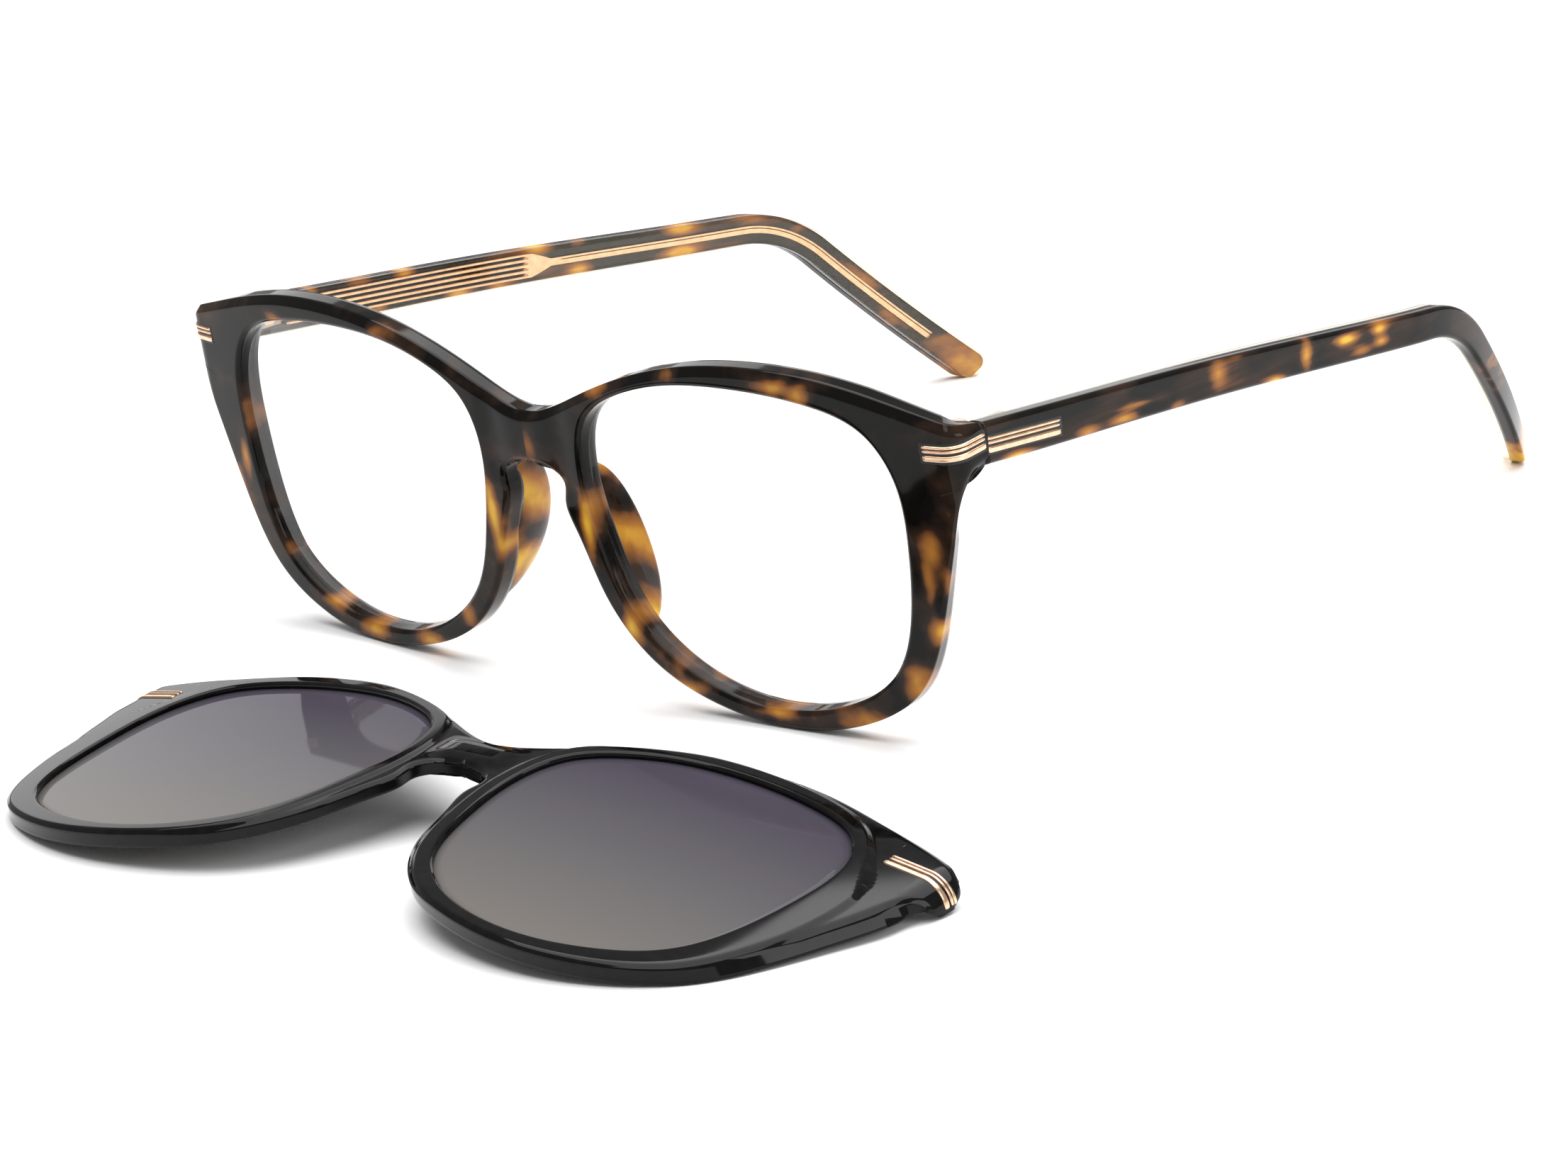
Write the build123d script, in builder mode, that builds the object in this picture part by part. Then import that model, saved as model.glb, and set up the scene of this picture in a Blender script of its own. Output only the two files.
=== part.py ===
"""Spectacle frame with a matching magnetic clip-on sun front, glasses open, clip laid in front of them.

Axes: X across the face (+X is the wearer's left), Y backwards towards the ears, Z up from the table.
The origin is under the middle of everything, on the table.
"""
import os
from math import atan2, cos, degrees, radians, sin, sqrt, tan

from build123d import *

# Lenses and front, seen square on (mm)
lens_width = 53.3
lens_height = 45.0
lens_gap = 19.2
rim_top = 2.9
rim_bottom = 2.3
rim_temporal = 8.0
rim_nasal = 4.0
bridge_middle = 11.7
bridge_height = 6.9
brow_fall = 0.3
rim_tuck = 0.1
rim_sweep = 0.15
front_thickness = 3.8
face_radius = 427.0

# Lens seat
lens_thickness = 1.8
lens_depth = 1.0
groove_depth = 0.7
seat_clearance = 0.04

# End pieces, where the front turns back to meet the temples
endpiece_reach = 1.6
endpiece_length = 5.8001
endpiece_top = 20.2
endpiece_bottom = 13.0
endpiece_taper = 1.5
endpiece_root = 10.0
endpiece_notch = 3.0
corner_radius = 1.5

# Temples
temple_thickness = 3.6
outer_layer = 2.3
temple_height = 5.8
bend_height = 4.5
tip_radius = 2.1
temple_run = 107.7
temple_slope = 5.9
ear_run = 39.0
toe_in = 2.8
ear_start = 94.0
ear_sweep_radius = 84.0
bend_radius = 22.0
core_thickness = 0.6
plate_height = 3.6
plate_end = 56.0
plate_point = 5.0
core_height = 1.1
core_end = 0.8

# Hinges
barrel_radius = 1.1
barrel_height = 1.3
barrel_gap = 0.05
leaf_thickness = 1.0
leaf_length = 7.0
leaf_wall = 1.0
screw_radius = 0.55
screw_clearance = 0.03
screw_head_radius = 0.95
screw_head_height = 0.5
seam_gap = 0.05
hinge_clearance = 0.08
hinge_setback = 0.3

# Metal trims
trim_height = 2.6
trim_middle = 16.4
trim_depth = 0.6
trim_proud = 0.2
trim_reach = 5.0
clip_trim_reach = 9.5
temple_trim_length = 15.0

# Nose pads
pad_top = 8.0
pad_bottom = -15.0
pad_back = 10.5
pad_width = 3.4
pad_tuck = 0.6
pad_waist = 1.2
pad_spread = 7.4
pad_swell = 1.0
pad_heel = 1.0
pad_heel_slope = 0.7

# Magnets, sealed in the brow of both fronts
magnet_radius = 1.2
magnet_length = 1.4
magnet_clearance = 0.03
magnet_skin = 0.6
magnet_inset = 9.5
magnet_level = 19.8

# Clip-on sun front
clip_thickness = 2.6
dock_gap = 0.1
clip_inset = 0.5
clip_lip = 0.7
clip_lens_thickness = 1.1
clip_lens_depth = 0.9
clip_end_reach = 1.5
clip_end_thickness = 4.0
clip_shoulder = 6.3
clip_shift = 30.0
clip_forward = 54.0

# How the glasses stand
lean = 5.1

# Lens shape on its own box, -1 to 1 each way: over the top from the temple side, then back below
LENS_TOP = [
    (1.0, 0.133), (0.976, 0.533), (0.835, 0.80), (0.516, 0.949), (0.066, 1.0), (-0.347, 0.976),
    (-0.685, 0.871), (-0.921, 0.689), (-1.0, 0.356),
]
LENS_BOTTOM = [
    (-0.947, -0.067), (-0.797, -0.524), (-0.422, -0.876), (0.103, -0.996), (0.516, -0.898),
    (0.816, -0.667), (0.97, -0.2),
]
# Top and bottom edges of the rim on the box of its outer edge
BROW_SHAPE = [(-0.865, 0.721), (-0.559, 0.876), (-0.253, 0.970), (0.054, 1.0), (0.36, 0.98), (0.666, 0.904)]
RIM_SHAPE = [
    (0.949, 0.024), (0.865, -0.315), (0.712, -0.693), (0.421, -0.92), (0.054, -1.0),
    (-0.314, -0.936), (-0.651, -0.737), (-0.865, -0.394), (-0.963, -0.056), (-1.0, 0.124),
]

lens_x = lens_gap / 2 + lens_width / 2
rim_side = lens_x + lens_width / 2 + rim_temporal
half_width = rim_side + endpiece_reach
clip_half_width = half_width + clip_end_reach
clip_face_radius = face_radius + clip_thickness + dock_gap
far = 3 * lens_width


def sag(x, depth=0.0, radius=face_radius):
    """How far back the surface at a depth in the curved front lies, at x from the middle."""
    return radius - sqrt((radius - depth) ** 2 - x**2)


endpiece_depth = sag(half_width) + endpiece_length


class Placing:
    """Three planes through one curved front: square on to it, from above and from its side."""

    def __init__(self, x, y, z, angle):
        self.x, self.y, self.z, self.angle = x, y, z, radians(angle)
        back = (0, cos(self.angle), sin(self.angle))
        up = (0, -sin(self.angle), cos(self.angle))
        self.face = Plane(origin=(x, y, z), x_dir=(1, 0, 0), z_dir=(0, -back[1], -back[2]))
        self.plan = Plane(origin=(x, y, z), x_dir=(1, 0, 0), z_dir=up)
        self.side = Plane(origin=(x, y, z), x_dir=back, z_dir=(1, 0, 0))

    def at(self, back, up):
        """World Y and Z of a point this far behind the face's middle and this far up it."""
        return (
            self.y + back * cos(self.angle) - up * sin(self.angle),
            self.z + back * sin(self.angle) + up * cos(self.angle),
        )


# The glasses stand on the lower front edge of both rims
rim_toe_x = lens_x
rim_toe_z = -lens_height / 2 - rim_bottom
stand_height = -(sag(rim_toe_x) * sin(radians(lean)) + rim_toe_z * cos(radians(lean)))


def outline_points(shape, inset=0.0):
    """Points on the outer edge of the left rim."""
    low = lens_x - lens_width / 2 - rim_nasal + inset
    high = rim_side - inset
    top = lens_height / 2 + rim_top - inset
    bottom = -lens_height / 2 - rim_bottom + inset
    return [((low + high + u * (high - low)) / 2, (top + bottom + v * (top - bottom)) / 2) for u, v in shape]


# The clip lies on its two ends and on the lowest place of its rims' back edges, which lifts its brow
clip_toe_z = rim_toe_z + clip_inset
clip_end_depth = sag(clip_half_width, 0, clip_face_radius) + clip_end_thickness
clip_back = [(sag(x, clip_thickness, clip_face_radius), z) for x, z in outline_points(RIM_SHAPE, clip_inset)]
clip_lift = min(degrees(atan2(clip_end_depth - back, endpiece_bottom - z)) for back, z in clip_back)
clip_angle = clip_lift - 90
clip_height = clip_end_depth * cos(radians(clip_lift)) - endpiece_bottom * sin(radians(clip_lift))

# Side view of a temple: seam, bend and tip, measured back from the front's middle and up from the table
bare = Placing(0, 0, stand_height, lean)
seam_y, seam_z = bare.at(endpiece_depth, (endpiece_top - endpiece_taper + endpiece_bottom) / 2)
bend_y = seam_y + temple_run * cos(radians(temple_slope))
bend_z = seam_z - temple_run * sin(radians(temple_slope))
ear_drop = bend_z - tip_radius
tip_y = bend_y + sqrt(ear_run**2 - ear_drop**2)

# The origin is the middle of the whole arrangement
left_end = clip_shift + clip_half_width
right_end = half_width + trim_proud
back_end = tip_y + tip_radius
front_end = clip_forward - clip_toe_z * cos(radians(clip_lift)) - sag(rim_toe_x, 0, clip_face_radius) * sin(
    radians(clip_lift)
)
middle_x = -(left_end - right_end) / 2
middle_y = -(back_end - front_end) / 2
glasses = Placing(middle_x, middle_y, stand_height, lean)
clip = Placing(middle_x + clip_shift, middle_y - clip_forward, clip_height, clip_angle)
mirror_plane = Plane.YZ.offset(middle_x)
clip_mirror_plane = Plane.YZ.offset(middle_x + clip_shift)
os.makedirs("parts", exist_ok=True)


def save(piece, name):
    piece.part.label = name
    export_step(piece.part, f"parts/{name}.step")
    print(f"{name}: {piece.part.volume:.1f} mm3, {len(piece.part.solids())} solid")


def save_pair(piece, name, plane):
    """Write a piece of the wearer's left side, and its mirror image for the right."""
    save(piece, f"{name}_left")
    with BuildPart() as twin:
        mirror(piece.part, about=plane)
    save(twin, f"{name}_right")


# ---- Shapes shared by the front and the clip ----------------------------------------------------


def lens_sketch(side, grow=0.0):
    """One lens outline in two curves that meet upright at its widest points, grown all round."""
    wide = lens_width / 2 + grow
    high = lens_height / 2 + grow
    top = [(side * (lens_x + u * wide), v * high) for u, v in LENS_TOP]
    bottom = [(side * (lens_x + u * wide), v * high) for u, v in LENS_BOTTOM]
    with BuildLine() as edge:
        Spline(*top, tangents=((0, 1), (0, -1)))
        Spline(top[-1], *bottom, top[0], tangents=((0, -1), (0, 1)))
    make_face(edge.edges())


def outline_sketch(inset=0.0):
    """The whole outer outline of a front, drawn for one side and mirrored."""
    brow = outline_points(BROW_SHAPE, inset)
    rim = outline_points(RIM_SHAPE, inset)
    bridge_top = (0, bridge_middle + bridge_height / 2 - inset / 2)
    bridge_under = (0, bridge_middle - bridge_height / 2 + inset / 2)
    corner = (rim_side - inset, endpiece_top)
    notch = (rim_side - inset, endpiece_bottom - endpiece_notch)
    with BuildLine() as edge:
        Spline(bridge_top, *brow, corner, tangents=((1, 0), (1, -brow_fall)))
        Line(corner, notch)
        Spline(notch, *rim, tangents=((-rim_tuck, -1), (-rim_sweep, 1)))
        Spline(rim[-1], bridge_under, tangents=((-rim_sweep, 1), (-1, 0)))
        mirror(about=Plane.YZ)
    make_face(edge.edges())


def band_sketch(depth_front, depth_back, radius, half_span):
    """Plan view of a curved layer of the front, between two depths."""
    front_y = sag(half_span, depth_front, radius)
    back_y = sag(half_span, depth_back, radius)
    with BuildLine() as edge:
        ThreePointArc((-half_span, front_y), (0, depth_front), (half_span, front_y))
        Line((half_span, front_y), (half_span, back_y))
        ThreePointArc((half_span, back_y), (0, depth_back), (-half_span, back_y))
        Line((-half_span, back_y), (-half_span, front_y))
    make_face(edge.edges())


def round_corner(sketch, point, radius):
    """Round the sketch corner nearest a point."""
    fillet(sketch.vertices().sort_by_distance((*point, 0))[0], radius)


def add_pair(piece, plane, mode=Mode.ADD):
    """Join or cut away a piece and its mirror image."""
    add(piece.part, mode=mode)
    mirror(piece.part, about=plane, mode=mode)


def lens_blank(placing, radius, depth, thickness, grow):
    """A curved lens of the left side, or the seat cut for it when grown by a clearance."""
    with BuildPart() as blank:
        with BuildSketch(placing.face):
            lens_sketch(1, grow)
        extrude(amount=far, both=True)
        with BuildSketch(placing.plan):
            band_sketch(depth, depth + thickness, radius, rim_side)
        extrude(amount=lens_height, both=True, mode=Mode.INTERSECT)
    return blank


def magnet_blank(placing, radius, depth, clearance):
    """A magnet of the left side, or the closed pocket round it when given a clearance."""
    x = half_width - magnet_inset
    with BuildPart() as blank:
        with BuildSketch(placing.face.offset(clearance - sag(x, 0, radius) - depth)):
            with Locations((x, magnet_level)):
                Circle(magnet_radius + clearance)
        extrude(amount=-magnet_length - 2 * clearance)
    return blank


def corner_strip(placing, reach, end_x, end_depth, radius):
    """A metal trim round the left outer corner: along the face, then back along the side."""
    start = end_x - reach
    outer = (end_x + trim_proud, sag(end_x, 0, radius) - trim_proud)
    inner = (end_x - trim_depth, sag(end_x, 0, radius) + trim_depth)
    with BuildPart() as strip:
        with BuildSketch(placing.plan.offset(trim_middle - trim_height / 2)) as plan:
            with BuildLine():
                Polyline(
                    (start, sag(start, 0, radius) - trim_proud),
                    outer,
                    (end_x + trim_proud, end_depth),
                    (end_x - trim_depth, end_depth),
                    inner,
                    (start, sag(start, 0, radius) + trim_depth),
                    close=True,
                )
            make_face()
            round_corner(plan, outer, corner_radius + trim_proud)
            round_corner(plan, inner, corner_radius - trim_depth)
        extrude(amount=trim_height)
    return strip


# ---- Hinges: front leaf, temple leaf and screw on one upright axis ------------------------------

axis_x = half_width - temple_thickness - barrel_radius - hinge_clearance
axis_y = seam_y + hinge_setback
barrel_step = barrel_height + barrel_gap
hinge_bottom = seam_z - 1.5 * barrel_height - barrel_gap
leaf_height = 3 * barrel_height + 2 * barrel_gap
hinge_origin = (middle_x + axis_x, middle_y + axis_y)
temple_turn = radians(toe_in)
temple_skin = (half_width - axis_x) * cos(temple_turn) - hinge_setback * sin(temple_turn)
leaf_inside = temple_skin - temple_thickness


def hinge_plane(z, angle=0.0):
    """Level plane at a height, on the hinge axis, its X pointing out of the temple."""
    return Plane(origin=(*hinge_origin, z), x_dir=(cos(angle), sin(angle), 0), z_dir=(0, 0, 1))


def box_sketch(x_low, x_high, y_low, y_high):
    with Locations(((x_low + x_high) / 2, (y_low + y_high) / 2)):
        Rectangle(x_high - x_low, y_high - y_low)


def barrel(plane, neck, hole):
    """One hinge barrel with the neck that joins it to its leaf."""
    with BuildSketch(plane) as ring:
        Circle(barrel_radius)
        box_sketch(*neck)
        Circle(hole, mode=Mode.SUBTRACT)
    extrude(ring.sketch, amount=barrel_height)


with BuildPart() as hinge_front_leaf:
    skin = half_width - axis_x - temple_thickness
    front_leaf_length = endpiece_length - trim_depth - leaf_wall
    leaf_end = -hinge_setback - seam_gap - leaf_height / 2 * tan(radians(lean))
    with BuildSketch(hinge_plane(hinge_bottom)):
        box_sketch(skin, skin + leaf_thickness, leaf_end - front_leaf_length, leaf_end)
    extrude(amount=leaf_height)
    for level in (0, 2):
        neck = (0, skin + leaf_thickness / 2, leaf_end - barrel_radius, leaf_end)
        barrel(hinge_plane(hinge_bottom + level * barrel_step), neck, screw_radius)

with BuildPart() as hinge_temple_leaf:
    with BuildSketch(hinge_plane(hinge_bottom, temple_turn)):
        box_sketch(leaf_inside, leaf_inside + leaf_thickness, 0, leaf_length)
    extrude(amount=leaf_height)
    neck = (0, leaf_inside + leaf_thickness / 2, 0, barrel_radius)
    barrel(hinge_plane(hinge_bottom + barrel_step, temple_turn), neck, screw_radius + screw_clearance)

with BuildPart() as hinge_screw:
    with BuildSketch(hinge_plane(hinge_bottom)):
        Circle(screw_radius)
    extrude(amount=leaf_height)
    with BuildSketch(hinge_plane(hinge_bottom + leaf_height)):
        Circle(screw_head_radius)
    extrude(amount=screw_head_height)

# ---- Front of the glasses ----------------------------------------------------------------------

front_trim = corner_strip(glasses, trim_reach, half_width, endpiece_depth, face_radius)
lens = lens_blank(glasses, face_radius, lens_depth, lens_thickness, groove_depth)
lens_seat = lens_blank(
    glasses,
    face_radius,
    lens_depth - seat_clearance,
    lens_thickness + 2 * seat_clearance,
    groove_depth + seat_clearance,
)
front_magnet = magnet_blank(glasses, face_radius, magnet_skin, 0)
front_magnet_pocket = magnet_blank(glasses, face_radius, magnet_skin, magnet_clearance)

with BuildPart() as endpiece:
    start = rim_side - endpiece_root
    inside = half_width - temple_thickness
    corner = (half_width, sag(half_width))
    with BuildSketch(glasses.plan.offset(endpiece_bottom)) as plan:
        with BuildLine():
            Polyline(
                (start, sag(start)),
                corner,
                (half_width, endpiece_depth),
                (inside, endpiece_depth),
                (inside, sag(inside, front_thickness)),
                (start, sag(start, front_thickness)),
                close=True,
            )
        make_face()
        round_corner(plan, corner, corner_radius)
    extrude(amount=endpiece_top - endpiece_bottom)
    with BuildSketch(glasses.side):
        with BuildLine():
            Polyline(
                (0, endpiece_bottom),
                (endpiece_depth, endpiece_bottom),
                (endpiece_depth, endpiece_top - endpiece_taper),
                (sag(half_width), endpiece_top),
                (0, endpiece_top),
                close=True,
            )
        make_face()
    extrude(amount=far, mode=Mode.INTERSECT)

with BuildPart() as front:
    with BuildSketch(glasses.face):
        outline_sketch()
    extrude(amount=far, both=True)
    with BuildSketch(glasses.plan):
        band_sketch(0, front_thickness, face_radius, half_width)
    extrude(amount=lens_height, both=True, mode=Mode.INTERSECT)
    add_pair(endpiece, mirror_plane)
    with BuildSketch(glasses.face):
        lens_sketch(1)
        lens_sketch(-1)
    extrude(amount=far, both=True, mode=Mode.SUBTRACT)
    for cut in (lens_seat, front_magnet_pocket, front_trim, hinge_front_leaf):
        add_pair(cut, mirror_plane, Mode.SUBTRACT)

with BuildPart() as nose_pad:
    rim_inside = lens_x - lens_width / 2 - rim_nasal
    middle_level = (pad_top + pad_bottom) / 2
    pad_half = (pad_top - pad_bottom) / 2
    top = (rim_inside - pad_tuck, pad_top)
    low = (rim_inside + pad_spread, pad_bottom)
    waist = (rim_inside + pad_waist, middle_level)
    heel = (low[0] + pad_width, low[1] + pad_heel)
    belly = (waist[0] + pad_width - pad_swell, middle_level + pad_heel)
    crown = (top[0] + pad_width, pad_top)
    with BuildSketch(glasses.face):
        with BuildLine():
            Spline(top, waist, low, tangents=((-rim_tuck, -1), (pad_heel_slope, -1)))
            Line(low, heel)
            Spline(heel, belly, crown)
            Line(crown, top)
        make_face()
    extrude(amount=-far)
    with BuildSketch(glasses.side):
        with Locations((front_thickness / 2, middle_level)):
            Ellipse(pad_back - front_thickness / 2, pad_half)
    extrude(amount=far, mode=Mode.INTERSECT)
    with BuildSketch(glasses.plan):
        band_sketch(-front_thickness, front_thickness, face_radius, half_width)
    extrude(amount=lens_height, both=True, mode=Mode.SUBTRACT)

# ---- Temples -----------------------------------------------------------------------------------

ear_angle = atan2(ear_drop, tip_y - bend_y)
slope = radians(temple_slope)
temple_side = Plane(origin=(middle_x, middle_y, 0), x_dir=(0, 1, 0), z_dir=(1, 0, 0))
temple_plan = Plane(origin=(middle_x, middle_y, 0))


def at_bend(half):
    """Corner of a line that runs at this distance above the temple's middle line, at the bend."""
    middle = (slope + ear_angle) / 2
    reach = half / cos((ear_angle - slope) / 2)
    return (bend_y + reach * sin(middle), bend_z + reach * cos(middle))


def along(distance, half):
    """Point on the straight of the temple, measured from the seam."""
    y = seam_y + distance * cos(slope) + half * sin(slope)
    return (y, seam_z - distance * sin(slope) + half * cos(slope))


def on_ear(share, half):
    """Point on the ear piece, from the bend (0) to the middle of the round tip (1)."""
    y = bend_y + share * ear_run * cos(ear_angle) + half * sin(ear_angle)
    return (y, bend_z - share * ear_run * sin(ear_angle) + half * cos(ear_angle))


def temple_outline():
    """Side view: two edges that taper to the bend, and a round tip that stands on the table."""
    half = temple_height / 2
    rake = radians(lean)
    seam_top = (seam_y + seam_gap - half * sin(rake), seam_z + half * cos(rake))
    seam_bottom = (seam_y + seam_gap + half * sin(rake), seam_z - half * cos(rake))
    tip = (bend_y + ear_run * cos(ear_angle), tip_radius)
    tip_end = (tip[0] + tip_radius * cos(ear_angle), tip[1] - tip_radius * sin(ear_angle))
    with BuildLine() as edge:
        FilletPolyline(
            seam_top,
            at_bend(bend_height / 2),
            on_ear(1, tip_radius),
            radius=bend_radius + bend_height / 2,
        )
        ThreePointArc(on_ear(1, tip_radius), tip_end, on_ear(1, -tip_radius))
        FilletPolyline(
            on_ear(1, -tip_radius),
            at_bend(-bend_height / 2),
            seam_bottom,
            radius=bend_radius - bend_height / 2,
        )
        Line(seam_bottom, seam_top)
    make_face(edge.edges())


def core_outline():
    """Side view of the metal core: broad plate with a point, then a narrow strip round the bend."""
    start = leaf_length + 2 * barrel_radius
    half = core_height / 2
    plate = plate_height / 2
    with BuildLine() as edge:
        FilletPolyline(
            along(start, half), at_bend(half), on_ear(core_end, half), radius=bend_radius + half
        )
        Line(on_ear(core_end, half), on_ear(core_end, -half))
        FilletPolyline(
            on_ear(core_end, -half), at_bend(-half), along(start, -half), radius=bend_radius - half
        )
        Line(along(start, -half), along(start, half))
    make_face(edge.edges())
    with BuildLine() as edge:
        Polyline(
            along(start, -plate),
            along(plate_end, -plate),
            along(plate_end + plate_point, 0),
            along(plate_end, plate),
            along(start, plate),
            close=True,
        )
    make_face(edge.edges())


def temple_band(depth_out, depth_in):
    """Plan view of one layer: straight along the head, then swept in behind the ear."""
    straight = (-sin(temple_turn), cos(temple_turn))
    centre = (
        half_width + ear_start * straight[0] - ear_sweep_radius * cos(temple_turn),
        seam_y + ear_start * straight[1] - ear_sweep_radius * sin(temple_turn),
    )
    sweep = (tip_y + 3 * tip_radius - centre[1]) / ear_sweep_radius

    def on_arc(depth, share):
        angle = temple_turn + share * (sweep - temple_turn)
        reach = ear_sweep_radius - depth
        return (centre[0] + reach * cos(angle), centre[1] + reach * sin(angle))

    def at_start(depth):
        x = half_width - depth * cos(temple_turn) - temple_height * straight[0]
        return (x, seam_y - depth * sin(temple_turn) - temple_height * straight[1])

    with BuildLine() as edge:
        Line(at_start(depth_out), on_arc(depth_out, 0))
        ThreePointArc(on_arc(depth_out, 0), on_arc(depth_out, 0.5), on_arc(depth_out, 1))
        Line(on_arc(depth_out, 1), on_arc(depth_in, 1))
        ThreePointArc(on_arc(depth_in, 1), on_arc(depth_in, 0.5), on_arc(depth_in, 0))
        Line(on_arc(depth_in, 0), at_start(depth_in))
        Line(at_start(depth_in), at_start(depth_out))
    make_face(edge.edges())


def temple_layer(outline, depth_out, depth_in):
    """One layer of the left temple."""
    with BuildPart() as layer:
        with BuildSketch(temple_side):
            outline()
        extrude(amount=far)
        with BuildSketch(temple_plan):
            temple_band(depth_out, depth_in)
        extrude(amount=far, mode=Mode.INTERSECT)
    return layer


with BuildPart() as temple_trim:
    trim_level = seam_z + trim_middle - (endpiece_top + endpiece_bottom) / 2
    skin_plane = Plane(
        origin=(middle_x + half_width, middle_y + seam_y, trim_level),
        x_dir=(-sin(temple_turn), cos(temple_turn), 0),
        z_dir=(cos(temple_turn), sin(temple_turn), 0),
    )
    with BuildSketch(skin_plane.offset(trim_proud)):
        with BuildLine():
            rise = trim_height / 2
            drop = temple_trim_length * tan(slope)
            lead = seam_gap + rise * tan(radians(lean))
            Polyline(
                (lead, rise),
                (lead, -rise),
                (temple_trim_length, -rise - drop),
                (temple_trim_length, rise - drop),
                close=True,
            )
        make_face()
    extrude(amount=-trim_proud - trim_depth)

temple_core = temple_layer(core_outline, outer_layer, outer_layer + core_thickness)
temple_outside = temple_layer(temple_outline, 0, outer_layer)
with BuildPart() as temple_outer:
    add(temple_outside.part)
    add(temple_trim.part, mode=Mode.SUBTRACT)
temple_inside = temple_layer(temple_outline, outer_layer, temple_thickness)
with BuildPart() as temple_inner:
    add(temple_inside.part)
    add(temple_core.part, mode=Mode.SUBTRACT)
    add(hinge_temple_leaf.part, mode=Mode.SUBTRACT)

# ---- Clip-on sun front -------------------------------------------------------------------------

clip_trim_end = clip_end_depth - trim_depth
clip_trim = corner_strip(clip, clip_trim_reach, clip_half_width, clip_trim_end, clip_face_radius)
clip_lens = lens_blank(clip, clip_face_radius, clip_lens_depth, clip_lens_thickness, groove_depth - clip_lip)
clip_lens_seat = lens_blank(
    clip,
    clip_face_radius,
    clip_lens_depth - seat_clearance,
    clip_lens_thickness + 2 * seat_clearance,
    groove_depth - clip_lip + seat_clearance,
)
clip_magnet_depth = clip_thickness - magnet_skin - magnet_length
clip_magnet = magnet_blank(clip, clip_face_radius, clip_magnet_depth, 0)
clip_magnet_pocket = magnet_blank(clip, clip_face_radius, clip_magnet_depth, magnet_clearance)

with BuildPart() as clip_opening:
    with BuildSketch(clip.face):
        lens_sketch(1, -clip_lip)
    extrude(amount=far, both=True)

with BuildPart() as clip_end:
    with BuildSketch(clip.face):
        with BuildLine():
            shoulder = clip_half_width - clip_shoulder
            Polyline(
                (shoulder, endpiece_bottom),
                (clip_half_width, endpiece_bottom),
                (clip_half_width, endpiece_top - endpiece_taper),
                (clip_half_width - endpiece_reach, endpiece_top - clip_inset),
                (shoulder, endpiece_top - clip_inset),
                close=True,
            )
        make_face()
    extrude(amount=far, both=True)

with BuildPart() as clip_hook:
    hook_inside = half_width + trim_proud + dock_gap
    hook_front = sag(hook_inside, 0, clip_face_radius)
    with BuildSketch(clip.plan.offset(endpiece_bottom)) as plan:
        box_sketch(hook_inside, clip_half_width, hook_front, clip_end_depth)
        round_corner(plan, (clip_half_width, hook_front), corner_radius - trim_depth)
    extrude(amount=endpiece_top - endpiece_taper - endpiece_bottom)

with BuildPart() as clip_frame:
    with BuildSketch(clip.face):
        outline_sketch(clip_inset)
    extrude(amount=far, both=True)
    add_pair(clip_end, clip_mirror_plane)
    with BuildSketch(clip.plan):
        band_sketch(0, clip_thickness, clip_face_radius, clip_half_width)
    extrude(amount=lens_height, both=True, mode=Mode.INTERSECT)
    add_pair(clip_hook, clip_mirror_plane)
    for cut in (clip_opening, clip_lens_seat, clip_magnet_pocket, clip_trim):
        add_pair(cut, clip_mirror_plane, Mode.SUBTRACT)

# ---- Files -------------------------------------------------------------------------------------

save(front, "front")
save(clip_frame, "clip_frame")
for name, piece in {
    "lens": lens,
    "nose_pad": nose_pad,
    "front_trim": front_trim,
    "front_magnet": front_magnet,
    "hinge_front_leaf": hinge_front_leaf,
    "hinge_screw": hinge_screw,
    "temple_outer": temple_outer,
    "temple_inner": temple_inner,
    "temple_core": temple_core,
    "temple_trim": temple_trim,
    "hinge_temple_leaf": hinge_temple_leaf,
}.items():
    save_pair(piece, name, mirror_plane)
for name, piece in {"clip_lens": clip_lens, "clip_trim": clip_trim, "clip_magnet": clip_magnet}.items():
    save_pair(piece, name, clip_mirror_plane)
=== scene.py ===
"""Open spectacles with a matching magnetic clip-on sun front laid on the table before them."""

import bpy
import numpy as np
from mathutils import Matrix, Vector


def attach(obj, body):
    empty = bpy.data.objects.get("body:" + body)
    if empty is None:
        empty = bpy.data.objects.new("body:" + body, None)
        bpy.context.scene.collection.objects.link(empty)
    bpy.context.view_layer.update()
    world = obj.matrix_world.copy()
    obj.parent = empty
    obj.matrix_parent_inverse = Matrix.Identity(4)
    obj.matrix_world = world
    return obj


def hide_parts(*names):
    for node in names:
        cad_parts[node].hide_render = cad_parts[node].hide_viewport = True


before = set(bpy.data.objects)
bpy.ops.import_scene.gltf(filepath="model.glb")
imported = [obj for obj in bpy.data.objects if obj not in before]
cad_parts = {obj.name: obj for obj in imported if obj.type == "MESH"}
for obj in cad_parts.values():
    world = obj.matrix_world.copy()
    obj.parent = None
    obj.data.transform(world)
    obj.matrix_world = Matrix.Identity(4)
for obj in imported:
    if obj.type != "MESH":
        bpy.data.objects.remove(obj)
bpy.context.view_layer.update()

MM = 0.001

# Where the glasses and the clip lie: middle of the face, height, lean (mm, degrees)
MIDDLE = (-15.65, -34.348)
STAND_HEIGHT = 24.565
LEAN = 5.1
CLIP_SHIFT = (30.0, -54.0)
CLIP_HEIGHT = 8.866
CLIP_LEAN = 6.56 - 90

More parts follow.
